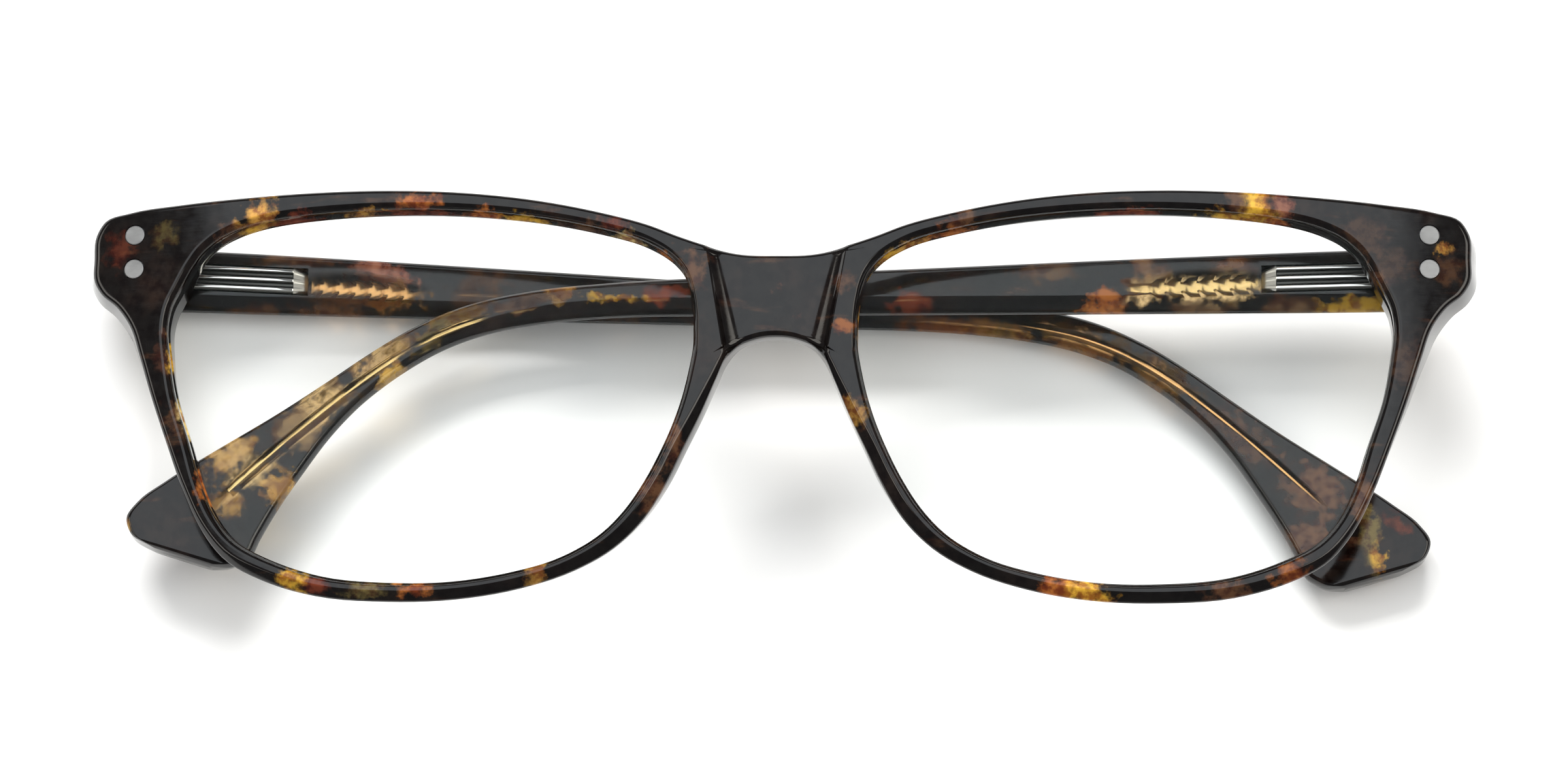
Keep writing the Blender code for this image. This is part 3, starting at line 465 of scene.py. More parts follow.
def rim_ring(outer, outer_normal, inner, inner_normal, bevel):
    """One cross-section of the front, as a closed ring of points."""
    low_down = max(0.0, -outer_normal[1]) * ease(-outer[1], *LOWER_RIM_DOWN)
    low_down *= 1.0 - ease(outer[0], *LOWER_RIM_END_X)
    outer = [outer[k] + LOWER_SWELL * low_down * outer_normal[k] for k in (0, 1)]
    bevel += 0.5 * LOWER_SWELL * low_down
    face_width = math.dist(outer, inner) - INNER_BEVEL_WIDTH - bevel
    lead = min(0.3, 0.35 * face_width)
    deep = thickness(*outer)
    let_in = FACE_SET_BACK + saddle(*outer)
    undercut = LOWER_UNDERCUT * (deep - BACK_BEVEL) * low_down
    inner_line = rounded_line((
        (0.0, GROOVE_FRONT), (0.0, INNER_BEVEL_DEPTH, 0.18),
        (INNER_BEVEL_WIDTH, FACE_SET_BACK, 0.25), (INNER_BEVEL_WIDTH + lead, FACE_SET_BACK),
    ))
    outer_line = rounded_line((
        (bevel + lead, let_in), (bevel, let_in, 0.22), (0.0, let_in + 0.9 * bevel, 0.22),
        (undercut, deep - BACK_BEVEL, 0.2), (undercut + BACK_BEVEL, deep, 0.2),
        (undercut + BACK_BEVEL + lead, deep),
    ))
    back_line = rounded_line((
        (BACK_BEVEL + lead, thickness(*inner)), (BACK_BEVEL, thickness(*inner), 0.2),
        (0.0, thickness(*inner) - BACK_BEVEL, 0.2), (0.0, GROOVE_BACK),
    ))

    def from_inner(offset):
        return [inner[k] + inner_normal[k] * offset for k in (0, 1)]

    def from_outer(offset):
        return [outer[k] - outer_normal[k] * offset for k in (0, 1)]

    ring = [behind(*from_inner(offset), depth) for offset, depth in inner_line]
    face_in, face_out = from_inner(INNER_BEVEL_WIDTH + lead), from_outer(bevel + lead)
    for share in face_shares(face_in, face_out)[1:-1]:
        x, y = (mix(a, b, share) for a, b in zip(face_in, face_out))
        ring.append(behind(x, y, FACE_SET_BACK + saddle(x, y)))
    for offset, depth in outer_line:
        x, y = from_outer(offset)
        in_front = depth < let_in + 1.5 * bevel + 0.1
        local = saddle(x, y) + FACE_SET_BACK - let_in if in_front else 0.0
        ring.append(behind(x, y, depth + local))
    back_in, back_out = from_inner(BACK_BEVEL + lead), from_outer(undercut + BACK_BEVEL + lead)
    for share in BACK_SHARES:
        x, y = (mix(a, b, share) for a, b in zip(back_in, back_out))
        ring.append(behind(x, y, thickness(x, y)))
    ring += [behind(*from_inner(offset), depth) for offset, depth in back_line]
    ring.append(behind(*from_inner(GROOVE_DEEP), GROOVE_APEX))
    return ring


def make_front(acetate):
    bm = loft([rim_ring(*station) for station in rim_stations(RIM_STEPS)], closed=True)
    on_plane = [face for face in bm.faces if all(abs(vert.co.x) < 1e-6 for vert in face.verts)]
    bmesh.ops.delete(bm, geom=on_plane, context="FACES")
    bmesh.ops.mirror(bm, geom=bm.verts[:] + bm.edges[:] + bm.faces[:], axis="X", merge_dist=1e-5)
    cuts = []
    for side in (1, -1):
        place = front_place(side)
        pocket = box(
            (PLATE_X[0] - FIT, PLATE_Y[0] - FIT, END_BACK_Z - 1.0),
            (PLATE_X[1] + FIT, PLATE_Y[1] + FIT, PLATE_FRONT_Z + FIT),
        )
        cuts.append((pocket, place))
        for y in RIVET_YS:
            floor = surface_z(RIVET_X) - RIVET_HEAD_HEIGHT - FIT
            hole = upright_cylinder(RIVET_HEAD + FIT, floor, 0.0, 2, (RIVET_X, y))
            cuts.append((hole, place))
    finish(
        bm, "front_shell", front_place(1), acetate, "front", ["front"], cuts=cuts
    )


def make_lens(side, word, clear):
    """A curved disc that follows the opening, with its edge in the rim's groove."""
    stations = rim_stations(LENS_STEPS)
    outline = [station[2] for station in stations]
    normals = [station[3] for station in stations]
    centre = [sum(point[k] for point in outline) / len(outline) for k in (0, 1)]
    edge = [[p[k] - n[k] * LENS_FACE_GAP for k in (0, 1)] for p, n in zip(outline, normals)]
    apex = [[p[k] + n[k] * LENS_APEX for k in (0, 1)] for p, n in zip(outline, normals)]

    def face_ring(scale, depth):
        return [behind(*(mix(centre[k], p[k], scale) for k in (0, 1)), depth) for p in edge]

    rings = [face_ring(scale, LENS_FRONT) for scale in (*LENS_RINGS[::-1], 1.0)]
    rings.append([behind(*p, GROOVE_APEX) for p in apex])
    rings += [face_ring(scale, LENS_BACK) for scale in (1.0, *LENS_RINGS)]
    finish(
        loft(rings), f"demo_lens_{word}", front_place(side), clear, "front",
        [f"lens_{word}"],
    )


def make_nose_pad(side, word, acetate):
    start, end = PAD_ROWS
    rows = smooth_rows(RIM_ROWS[start:end + 1], 2)
    rings = []
    for i, row in enumerate(rows):
        t = i / (len(rows) - 1)
        swell = math.sqrt(max(0.06, 1.0 - (2.0 * t - 1.0) ** 4))
        length = math.dist(row[:2], row[2:4])
        width = min(PAD_MOST_WIDTH, length) * 0.9
        across = [(row[k + 2] - row[k]) / length for k in (0, 1)]
        ring = []
        for u, v in PAD_PROFILE:
            along = 0.15 + width * mix(0.5, u, swell)
            deep = PAD_FRONT_Z - PAD_DEPTH * v * swell * mix(0.75, 1.0, 1.0 - t)
            ring.append((row[0] + across[0] * along, row[1] + across[1] * along, deep))
        rings.append(ring)
    finish(
        loft(rings), f"bridge_pad_{word}", front_place(side), acetate, "front",
        [f"nose_pad_{word}"], sharp=80.0, levels=2,
    )


def make_rivet(side, word, y, place_word, silver):
    """A flush head with a fine bright chamfer, and its shank."""
    top = surface_z(RIVET_X) - RIVET_SET_BACK
    floor = surface_z(RIVET_X) - RIVET_HEAD_HEIGHT
    slope = RIVET_X / BASE_RADIUS
    rings = [(RIVET_HEAD - inwards, top + drop, slope) for inwards, drop in RIVET_EDGE]
    rings += [(RIVET_HEAD, floor, 0.0), (RIVET_SHANK, floor, 0.0), (RIVET_SHANK, RIVET_TAIL_Z, 0.0)]
    circles = []
    for radius, z, tilt in rings:
        circle = []
        for k in range(RIVET_SIDES):
            angle = 2 * math.pi * k / RIVET_SIDES
            x = radius * math.cos(angle)
            circle.append((RIVET_X + x, y + radius * math.sin(angle), z - tilt * x))
        circles.append(circle)
    name = f"rivet_{place_word}_{word}"
    finish(
        loft(circles), f"head_of_{name}", front_place(side), silver, "front", [name],
        sharp=15.0,
    )


# Temple pieces.

def case_y(s):
    """Height of the case's middle line, which follows the temple's slope."""
    return HINGE_Y - CASE_SLOPE * s


def temple_shift(s):
    """How far the tip curves in towards the head."""
    return -TIP_CURVE * ease(s, TIP_CURVE_START, TIP_CURVE_END)


def temple_ring(row, inset):
    su, yu, sl, yl = row
    height = math.hypot(sl - su, yl - yu)
    middle = (su + sl) / 2
    inner = TEMPLE_INNER_W + TIP_THINNING * ease(middle, 60.0, 120.0)
    lower = mix(LOWER_BEVEL_BAR, LOWER_BEVEL_TIP, ease(middle, 85.0, 110.0))
    corners = (
        (0.0, inner + EDGE_BEVEL, 0.14), (EDGE_BEVEL, inner, 0.2),
        (height - lower, inner + 0.12, 0.3), (height - 0.45 * lower, inner + 0.45, 0.3),
        (height, inner + 1.1, 0.35),
        (height - LOWER_EDGE_LEAN, TEMPLE_OUTER_W - OUTER_EDGE_BEVEL, 0.35),
        (height - LOWER_EDGE_LEAN - OUTER_EDGE_BEVEL, TEMPLE_OUTER_W, 0.35),
        (OUTER_EDGE_BEVEL, TEMPLE_OUTER_W, 0.35), (0.0, TEMPLE_OUTER_W - OUTER_EDGE_BEVEL, 0.35),
    )
    middle_w = (inner + TEMPLE_OUTER_W) / 2
    ring = []
    for v, w in rounded_loop(corners):
        v = min(max(v, inset), height - inset)
        w = middle_w + (w - middle_w) * (1.0 - inset / 2.0)
        t = v / height
        s = mix(su, sl, t)
        ring.append((s, mix(yu, yl, t), w + temple_shift(s)))
    return ring


def bar_along_case(s_range, half_y, w_range):
    """A plain bar on the case's slope, for cutting."""
    rings = []
    for s in s_range:
        y = case_y(s)
        corners = ((-1, 0), (1, 0), (1, 1), (-1, 1))
        rings.append([(s, y + sign * half_y, w_range[k]) for sign, k in corners])
    return loft(rings)


def make_temple(side, word, acetate):
    rows = smooth_rows(TEMPLE_ROWS, TEMPLE_STEPS)
    insets = [0.0] * (len(rows) - len(TIP_INSETS)) + list(TIP_INSETS)
    bm = loft([temple_ring(row, inset) for row, inset in zip(rows, insets)])
    place = temple_place(side, word)
    cutters = (
        upright_cylinder(KNUCKLE_CLEARANCE, *CUT_Y, 1, (0.0, 0.0)),
        box((CUT_FROM_S, CUT_Y[0], CUT_FROM_W), (0.0, CUT_Y[1], KNUCKLE_CLEARANCE)),
        bar_along_case(
            (CUT_FROM_S, CASE_S[1] + FIT), CASE_HALF_Y + FIT, (CUT_FROM_W, CASE_W[1] + FIT)
        ),
    )
    finish(
        bm, f"acetate_temple_{word}", place, acetate, f"temple_{word}",
        [f"temple_{word}"], cuts=[(cutter, place) for cutter in cutters],
    )


def make_case(side, word, silver):
    """A bar with three polished ridges, flutes between them, and a slanted end."""
    rings = []
    for before_end, drop in ((CASE_S[1] - CASE_S[0], 0.0), *CASE_SLANT):
        s = CASE_S[1] - before_end
        half = CASE_HALF_Y - CASE_NARROWING * drop
        top = CASE_W[0] + drop
        flat = min(1.0, drop / CASE_SLANT[1][1])
        flute = mix(top + FLUTE_DEPTH, top, flat)
        edge = top + mix(EDGE_DROP, EDGE_DROP_AT_END, flat)
        corners = (
            (-half, CASE_W[1], 0.1), (-half, edge, 0.1),
            *((share * half, top if ridge else flute, 0.06) for share, ridge in CASE_PROFILE),
            (half, edge, 0.1), (half, CASE_W[1], 0.1),
        )
        rings.append([(s, case_y(s) + v, w) for v, w in rounded_loop(corners)])
    place = temple_place(side, word)
    cavity = bar_along_case((CASE_S[0] - 1.0, CAVITY_END_S), CAVITY_HALF_Y, CAVITY_W)
    finish(
        loft(rings), f"fluted_case_{word}", place, silver, f"temple_{word}",
        [f"spring_case_{word}"], sharp=50.0, cuts=[(cavity, place)],
    )


def core_height(s_wanted):
    """Height of the wire, which leaves the case and then follows the temple's middle."""
    rows = smooth_rows(TEMPLE_ROWS, TEMPLE_STEPS)
    middles = [((row[0] + row[2]) / 2, (row[1] + row[3]) / 2) for row in rows]
    height = middles[-1][1]
    for (s1, y1), (s2, y2) in zip(middles, middles[1:]):
        if s1 <= s_wanted <= s2:
            height = mix(y1, y2, (s_wanted - s1) / (s2 - s1))
    return mix(case_y(s_wanted), height, ease(s_wanted, CORE_ROOT_S, CORE_ROUND_S))


def make_core_wire(side, word, silver):
    """A flat root stamped with chevrons, then a round wire that ends in the tip."""
    places = []
    tooth = CORE_ROOT_S
    while tooth < CORE_FLAT_END_S - 0.01:
        places += [(tooth + CHEVRON_PITCH * share, wide) for share, wide in CHEVRON]
        tooth += CHEVRON_PITCH
    for k in range(WIRE_SPANS + 1):
        places.append((mix(tooth + 0.2, CORE_END_S, k / WIRE_SPANS), CHEVRON_WAIST))
    rings = []
    for s, wide in places:
        y = core_height(s)
        before, after = s - 1.0, min(s + 1.0, CORE_END_S)
        rise, run = core_height(after) - core_height(before), after - before
        length = math.hypot(run, rise)
        across = (-rise / length, run / length)
        roundness = ease(s, CORE_FLAT_END_S, CORE_ROUND_S)
        half_y = mix(CORE_FLAT_HALF_Y * wide, CORE_RADIUS, roundness)
        half_w = mix(CORE_FLAT_HALF_W * mix(0.1, 1.0, wide), CORE_RADIUS, roundness)
        power = mix(FLAT_POWER, 1.0, roundness)
        lag = CHEVRON_POINT * (1.0 - roundness) * ease(s, CORE_ROOT_S, CORE_ROOT_S + 1.0)
        ring = []
        for k in range(WIRE_SIDES):
            angle = 2 * math.pi * (k + 0.5) / WIRE_SIDES
            v, w = (
                half * math.copysign(abs(turn) ** power, turn)
                for half, turn in ((half_y, math.cos(angle)), (half_w, math.sin(angle)))
            )
            at = s + across[0] * v - lag * abs(v)
            ring.append((at, y + across[1] * v, w + CORE_W + temple_shift(s)))
        rings.append(ring)
    finish(
        loft(rings), f"stamped_wire_{word}", temple_place(side, word), silver, f"temple_{word}",
        [f"core_wire_{word}"], sharp=60.0,
    )


# Materials.

def node(tree, kind, inputs, out=0, **settings):
    """Adds a shader node, sets or links its inputs, and returns one of its outputs."""
    made = tree.nodes.new(f"ShaderNode{kind}")
    for key, value in settings.items():
        setattr(made, key, value)
    for key, value in inputs.items():
        if isinstance(value, bpy.types.NodeSocket):
            tree.links.new(value, made.inputs[key])
        else:
            made.inputs[key].default_value = value
    return made.outputs[out] if made.outputs else None


def new_material(name):
    material = bpy.data.materials.new(name)
    material.use_nodes = True
    tree = material.node_tree
    tree.nodes.clear()
    return material, tree


def ended(material, shader):
    """The material, with the shader as its surface."""
    node(material.node_tree, "OutputMaterial", {"Surface": shader})
    return material


def maths(tree, operation, a, b=0.0, c=0.0):
    return node(tree, "Math", {0: a, 1: b, 2: c}, operation=operation)


def mix_colour(tree, share, a, b, blend="MIX"):
    return node(
        tree, "Mix", {0: share, 6: a, 7: b}, out=2, data_type="RGBA", blend_type=blend
    )


def mix_value(tree, share, a, b):
    return node(tree, "Mix", {0: share, 2: a, 3: b})


def noise(tree, place, scale, detail=2.0, out=0, roughness=0.5):
    return node(
        tree, "TexNoise",
        {"Vector": place, "Scale": scale, "Detail": detail, "Roughness": roughness}, out=out,
    )


def ramp(tree, value, low, high, to_low=0.0, to_high=1.0):
    return node(
        tree, "MapRange",
        {"Value": value, "From Min": low, "From Max": high, "To Min": to_low, "To Max": to_high},
        interpolation_type="SMOOTHSTEP",
    )


def model_place(tree):
    """The model's own coordinates, in metres."""
    return node(tree, "TexCoord", {}, out=3)


def local_place(tree, origin, turn, scale):
    """Coordinates in millimetres in the frame of the front or of a temple."""
    where = {"Location": origin, "Rotation": (0.0, turn, 0.0), "Scale": scale}
    return node(
        tree, "Mapping", {"Vector": model_place(tree), **where}, vector_type="TEXTURE"
    )


def place_on_front(tree):
    return local_place(tree, FRONT.translation, FRONT.to_euler().y, (MM, MM, MM))


def place_on_temple(tree, side, word):
    origin, turn = temple_frame(side, word)
    return local_place(tree, origin, turn, (-side * MM, MM, -MM))


def split(tree, place):
    """The three coordinates of a place."""
    return node(tree, "SeparateXYZ", {0: place}).node.outputs


# Colours of the acetate, linear.
BLACK = (0.0035, 0.0027, 0.0025, 1.0)
DARK = (0.02, 0.011, 0.008, 1.0)
BROWN = (0.085, 0.038, 0.018, 1.0)
PINK = (0.2, 0.075, 0.045, 1.0)
RED = (0.23, 0.045, 0.018, 1.0)
ORANGE = (0.42, 0.13, 0.025, 1.0)
AMBER = (0.5, 0.26, 0.05, 1.0)
YELLOW = (0.7, 0.4, 0.04, 1.0)
STRAW = (0.75, 0.55, 0.22, 1.0)
OLIVE = (0.12, 0.09, 0.03, 1.0)

# What the clear parts of the temples let through.
HONEY = (0.99, 0.85, 0.6, 1.0)
SALMON = (0.99, 0.76, 0.52, 1.0)

# Middle and reach of a patch in the front's depth: on its face, on the opening's wall,
# or through both.
FACE, WALL, THROUGH = (0.0, 0.8), (2.6, 1.7), (1.5, 3.2)

# Patches of the front: x, y, half length, half height, turn in degrees, layer, colour, strength.
# The amber, yellow and straw patches on the opening's walls and through the rim are partly the
# acetate's own pattern and partly painted light: painted bright, a glow of light shining through
# the rim.
FRONT_PATCHES = (
    (-66.7, 16.1, 1.2, 1.6, 0, FACE, RED, 0.2), (-62.0, 17.6, 1.1, 1.1, 0, FACE, OLIVE, 0.35),
    (-52.7, 18.3, 1.3, 2.6, -25, THROUGH, AMBER, 1.0),
    (-55.3, 17.2, 1.1, 1.2, -30, THROUGH, BROWN, 0.9),
    (-53.2, 17.4, 1.2, 0.8, 30, WALL, YELLOW, 1.0), (-48.3, 19.0, 1.9, 0.9, 0, WALL, RED, 0.8),
    (-41.7, 19.4, 1.3, 0.9, 0, WALL, AMBER, 0.9), (-39.8, 18.9, 1.0, 0.5, 0, FACE, YELLOW, 0.7),
    (-35.9, 19.6, 1.9, 1.5, 10, FACE, ORANGE, 0.75), (-36.0, 19.3, 3.5, 1.0, 0, WALL, RED, 0.7),
    (-29.3, 19.0, 1.9, 0.9, 0, WALL, ORANGE, 1.0), (-25.6, 18.6, 2.2, 0.9, 0, WALL, YELLOW, 0.9),
    (-19.5, 17.5, 2.2, 0.8, 0, WALL, BROWN, 1.0), (-16.4, 17.0, 1.1, 1.1, 0, FACE, RED, 0.4),
    (-15.2, 16.2, 2.4, 0.9, 20, WALL, STRAW, 0.9), (-11.2, 14.6, 1.6, 0.9, 35, WALL, ORANGE, 0.7),
    (-8.4, 12.8, 1.2, 1.7, 0, THROUGH, BROWN, 0.8), (-8.4, 10.2, 0.7, 1.4, 0, WALL, BROWN, 1.0),
    (0.5, 11.1, 1.3, 0.8, 0, FACE, PINK, 0.35), (2.1, 9.6, 1.3, 2.2, 0, FACE, PINK, 0.35),
    (1.2, 6.3, 0.9, 0.5, 0, FACE, AMBER, 0.7), (-1.6, 6.6, 1.6, 0.5, 0, FACE, BROWN, 0.7),
    (6.8, 7.1, 1.1, 1.0, 0, FACE, ORANGE, 0.38), (8.4, 7.4, 0.6, 1.6, 0, WALL, AMBER, 0.7),
    (6.9, 11.5, 1.1, 0.8, 0, FACE, BROWN, 0.6), (7.8, -1.7, 1.2, 1.2, 40, THROUGH, AMBER, 0.45),
    (11.0, 14.2, 1.5, 0.8, 40, WALL, YELLOW, 0.8), (13.4, 15.7, 1.5, 0.8, 30, WALL, AMBER, 0.9),
    (17.5, 17.2, 2.0, 0.8, 15, WALL, ORANGE, 0.8), (18.6, 17.9, 1.0, 1.2, 0, FACE, BROWN, 0.9),
    (34.9, 19.3, 2.6, 0.8, 0, WALL, RED, 0.9), (44.9, 19.2, 2.4, 0.8, 0, WALL, YELLOW, 0.8),
    (48.0, 19.6, 1.5, 2.1, 8, THROUGH, YELLOW, 0.85), (50.4, 19.9, 1.0, 1.3, 0, FACE, PINK, 0.8),
    (45.6, 20.0, 0.9, 1.5, 0, FACE, BROWN, 0.8), (49.5, 18.7, 1.2, 0.8, 0, WALL, ORANGE, 0.9),
    (58.3, 17.2, 2.2, 1.8, 0, FACE, BROWN, 0.3), (61.1, 14.2, 2.0, 1.9, 0, FACE, BROWN, 0.28),
    (66.3, 16.3, 0.6, 0.6, 0, FACE, AMBER, 0.6), (66.9, 14.2, 1.3, 1.2, 0, FACE, BROWN, 0.4),
    (58.5, 12.8, 1.5, 1.2, 30, THROUGH, BROWN, 0.8), (62.6, 4.2, 1.4, 2.2, 0, FACE, BROWN, 0.28),
    (-61.2, 5.2, 1.2, 2.0, 0, FACE, PINK, 0.2), (-61.3, 5.0, 0.7, 1.5, 0, WALL, YELLOW, 1.0),
    (-59.9, -1.3, 0.8, 2.0, 0, WALL, STRAW, 0.9), (-60.4, -1.6, 1.2, 1.8, 0, FACE, BROWN, 0.8),
    (-57.5, -8.0, 0.9, 2.0, 0, WALL, ORANGE, 0.8),
    (-47.8, -18.2, 1.2, 0.9, 0, THROUGH, YELLOW, 0.7), (-45.5, -19.0, 1.2, 0.9, 0, FACE, RED, 0.5),
    (-40.0, -19.5, 2.2, 1.0, 0, THROUGH, OLIVE, 0.9),
    (-36.0, -19.4, 1.6, 0.8, 0, THROUGH, ORANGE, 0.7),
    (-23.4, -18.0, 0.9, 1.2, 0, THROUGH, AMBER, 0.6),
    (-12.2, -9.4, 1.2, 2.2, 0, THROUGH, BROWN, 1.0),
    (-10.2, -4.0, 1.0, 2.0, 0, THROUGH, BROWN, 1.0),
    (28.2, -19.5, 1.7, 1.3, 0, THROUGH, ORANGE, 0.9),
    (31.2, -19.7, 1.8, 1.3, 0, THROUGH, YELLOW, 0.95),
    (45.0, -19.4, 1.9, 1.0, 0, THROUGH, BROWN, 1.0),
    (51.1, -17.4, 1.7, 1.0, 30, THROUGH, ORANGE, 0.5),
    (58.5, -9.7, 1.0, 2.3, 0, THROUGH, BROWN, 0.9),
)

# Patches of the temples: s, y, half length, half height, turn, colour, strength, clearness.
LEFT_PATCHES = (
    (14.2, 17.6, 3.0, 1.2, 0, BROWN, 0.7, 0.1), (24.0, 16.0, 3.3, 1.0, -12, PINK, 0.9, 0.1),
    (18.9, 11.6, 3.6, 0.8, 0, BROWN, 1.0, 0.1), (11.0, 11.6, 2.5, 0.8, 0, BROWN, 1.0, 0.2),
    (20.5, 13.6, 4.6, 1.2, 0, BROWN, 0.4, 0.55), (25.0, 13.6, 2.2, 1.2, 0, AMBER, 0.35, 0.8),
    (33.5, 14.4, 2.2, 1.5, 10, BROWN, 0.5, 0.3), (48.0, 12.5, 3.0, 1.0, 0, BROWN, 0.8, 0.3),
    (58.5, 11.5, 3.0, 0.9, 0, BROWN, 1.0, 0.3), (81.0, 11.3, 3.8, 1.0, -6, ORANGE, 0.5, 0.45),
    (86.5, 10.7, 3.2, 0.8, -10, AMBER, 0.55, 0.5), (95.0, 9.8, 3.8, 1.4, -22, AMBER, 0.35, 0.7),
    (103.5, 6.2, 3.6, 1.2, -32, AMBER, 0.25, 0.65), (110.5, 0.6, 4.5, 1.4, -40, BROWN, 0.5, 0.0),
    (118.5, -5.6, 3.0, 2.4, -40, BROWN, 0.9, 0.0), (117.8, -10.4, 2.2, 1.7, 0, BROWN, 0.9, 0.0),
    (123.9, -10.4, 0.9, 3.0, 8, OLIVE, 1.0, 0.1), (124.6, -12.6, 0.7, 1.0, 0, YELLOW, 0.6, 0.1),
    (126.5, -8.6, 1.4, 0.7, -40, RED, 0.35, 0.1),
)
RIGHT_PATCHES = (
    (7.0, 12.0, 3.4, 1.0, 0, YELLOW, 0.7, 0.2), (13.0, 12.0, 2.4, 1.0, 0, BROWN, 1.0, 0.2),
    (18.9, 16.0, 2.0, 0.8, 0, BROWN, 1.0, 0.1), (27.7, 15.9, 1.8, 1.1, 0, BROWN, 1.0, 0.2),
    (38.0, 15.6, 2.6, 0.9, 0, BROWN, 0.6, 0.2), (20.8, 14.2, 4.2, 1.2, 0, AMBER, 0.35, 0.85),
    (27.6, 13.9, 1.8, 1.2, 0, ORANGE, 0.35, 0.8), (31.8, 12.0, 1.9, 1.4, 0, ORANGE, 0.85, 0.2),
    (22.5, 11.9, 2.6, 1.0, 0, BROWN, 0.9, 0.2), (51.2, 12.3, 1.5, 1.0, 0, RED, 0.5, 0.3),
    (60.0, 12.5, 3.0, 1.0, 0, BROWN, 0.7, 0.3), (76.4, 13.1, 1.9, 0.8, 0, RED, 0.7, 0.3),
    (81.7, 12.7, 2.6, 0.55, 4, YELLOW, 0.75, 0.4), (87.5, 13.6, 1.6, 1.0, 0, AMBER, 0.7, 0.3),
    (91.0, 12.0, 2.6, 0.7, -12, BROWN, 1.0, 0.3), (97.5, 10.3, 3.4, 0.9, -30, AMBER, 0.5, 0.75),
    (99.5, 8.6, 2.2, 0.8, -35, OLIVE, 1.0, 0.5), (105.0, 6.4, 2.8, 1.5, -35, AMBER, 0.55, 0.75),
    (103.6, 4.4, 1.5, 1.0, -35, YELLOW, 0.5, 0.4), (110.8, 1.4, 3.0, 1.6, -38, AMBER, 0.4, 0.7),
    (113.3, -1.0, 2.2, 2.0, -38, BROWN, 0.8, 0.4), (119.8, -3.8, 2.4, 1.4, -38, AMBER, 0.6, 0.5),
    (117.8, -5.6, 2.6, 1.4, -45, BROWN, 0.3, 0.75), (120.1, -8.8, 1.7, 1.3, 0, AMBER, 0.5, 0.4),
    (114.9, -7.2, 1.4, 1.5, 0, AMBER, 0.6, 0.4), (113.2, -7.9, 0.5, 1.6, 0, YELLOW, 0.8, 0.3),
    # The small yellow patch at the tip's far corner is a painted glint.
    (130.0, -11.3, 0.5, 0.9, 0, YELLOW, 0.7, 0.2),
)

# Clear windows over the core wires: start and end along the temple, half height, clearness.
LEFT_WINDOWS = (
    (15.5, 27.5, 1.25, 0.8), (73.0, 82.5, 0.35, 0.5), (88.0, 95.0, 0.5, 0.85),
    (93.0, 100.0, 0.5, 0.9), (98.0, 106.0, 0.45, 0.9), (104.0, 112.0, 0.4, 0.85),
    (110.0, 119.0, 0.4, 0.85),
)
RIGHT_WINDOWS = (
    (15.5, 28.5, 1.25, 0.85), (94.5, 101.5, 0.5, 0.9), (103.0, 109.5, 0.5, 0.9),
    (108.0, 115.0, 0.45, 0.9), (113.5, 121.0, 0.45, 0.9),
)

# How far patches are shaken out of shape and how finely, and how soft their edges are.
FRONT_SHAKE, TEMPLE_SHAKE = (2.6, 0.4), (3.0, 0.35)
PATCH_SOFT, WINDOW_SOFT = 0.5, 0.3
# A temple's patches go right through it.
TEMPLE_MIDDLE_W, RIGHT_THROUGH = 2.5, 40.0
BUMP_DISTANCE = 0.00002


def bumps(tree, height, strength):
    return node(
        tree, "Bump", {"Strength": strength, "Distance": BUMP_DISTANCE, "Height": height}
    )


def acetate_base(tree, place, brownness):
    """Near black, with clouds of dark brown that a few streaks run through."""
    clouds = noise(tree, place, 0.11, 4.0, roughness=0.6)
    share = ramp(tree, clouds, 0.5 - brownness, 0.85 - brownness)
    colour = mix_colour(tree, share, BLACK, DARK)
    stretched = node(tree, "Mapping", {"Vector": place, "Scale": (0.5, 2.2, 1.0)})
    streaks = noise(tree, stretched, 0.32, 3.0)
    return mix_colour(tree, ramp(tree, streaks, 0.6, 0.78, 0.0, 0.45), colour, BROWN)


def shaken(tree, place, amount, scale):
    """The place, moved about, so that patches get ragged, blocky outlines."""
    wander = noise(tree, place, scale, 4.0, out=1, roughness=0.65)
    centred = node(
        tree, "VectorMath", {0: wander, 1: (0.5, 0.5, 0.5)}, operation="SUBTRACT"
    )
    return node(
        tree, "VectorMath", {0: centred, 1: (amount,) * 3, 2: place},
        operation="MULTIPLY_ADD",
    )


def fleck(tree, place):
    """Small dark and light flecks: added to a patch's reach, they break it up."""
    value = noise(tree, place, 0.7, 3.0, roughness=0.55)
    return maths(tree, "MULTIPLY_ADD", value, 3.0, -1.5)


def patch_share(tree, place, flecks, centre, radii, turn, soft, strength):
    """Strength inside a patch and 0 outside; flecks are 0 for an even outline."""
    where = {"Location": centre, "Rotation": (0.0, 0.0, math.radians(turn)), "Scale": radii}
    inside = node(
        tree, "Mapping", {"Vector": place, **where}, vector_type="TEXTURE"
    )
    reach = node(tree, "VectorMath", {0: inside}, out=1, operation="LENGTH")
    reach = maths(tree, "ADD", reach, flecks)
    return ramp(tree, reach, 1.0 + soft, 1.0 - soft, 0.0, strength)


def mottled(tree, place, colour):
    """Clouds inside the colour: paler in places, darker and redder in others."""
    share = ramp(tree, noise(tree, place, 0.75, 4.0, roughness=0.6), 0.36, 0.6)
    tint = mix_colour(tree, share, (0.42, 0.25, 0.25, 1.0), (1.15, 1.15, 1.1, 1.0))
    return mix_colour(tree, 1.0, colour, tint, "MULTIPLY")


def polished(tree, place, colour):
    """Polished acetate: clear gloss with faint buffing marks."""
    haze = noise(tree, place, 0.7, 3.0)
    marks = node(tree, "Mapping", {"Vector": place, "Scale": (0.25, 3.5, 3.5)})
    fine = noise(tree, marks, 3.0, 2.0)
    roughness = maths(
        tree, "ADD", ramp(tree, haze, 0.3, 0.7, 0.05, 0.1), ramp(tree, fine, 0.4, 0.8, 0.0, 0.03)
    )
    return node(tree, "BsdfPrincipled", {
        "Base Color": colour, "Roughness": roughness, "IOR": 1.49,
        "Normal": bumps(tree, fine, 0.03),
    })


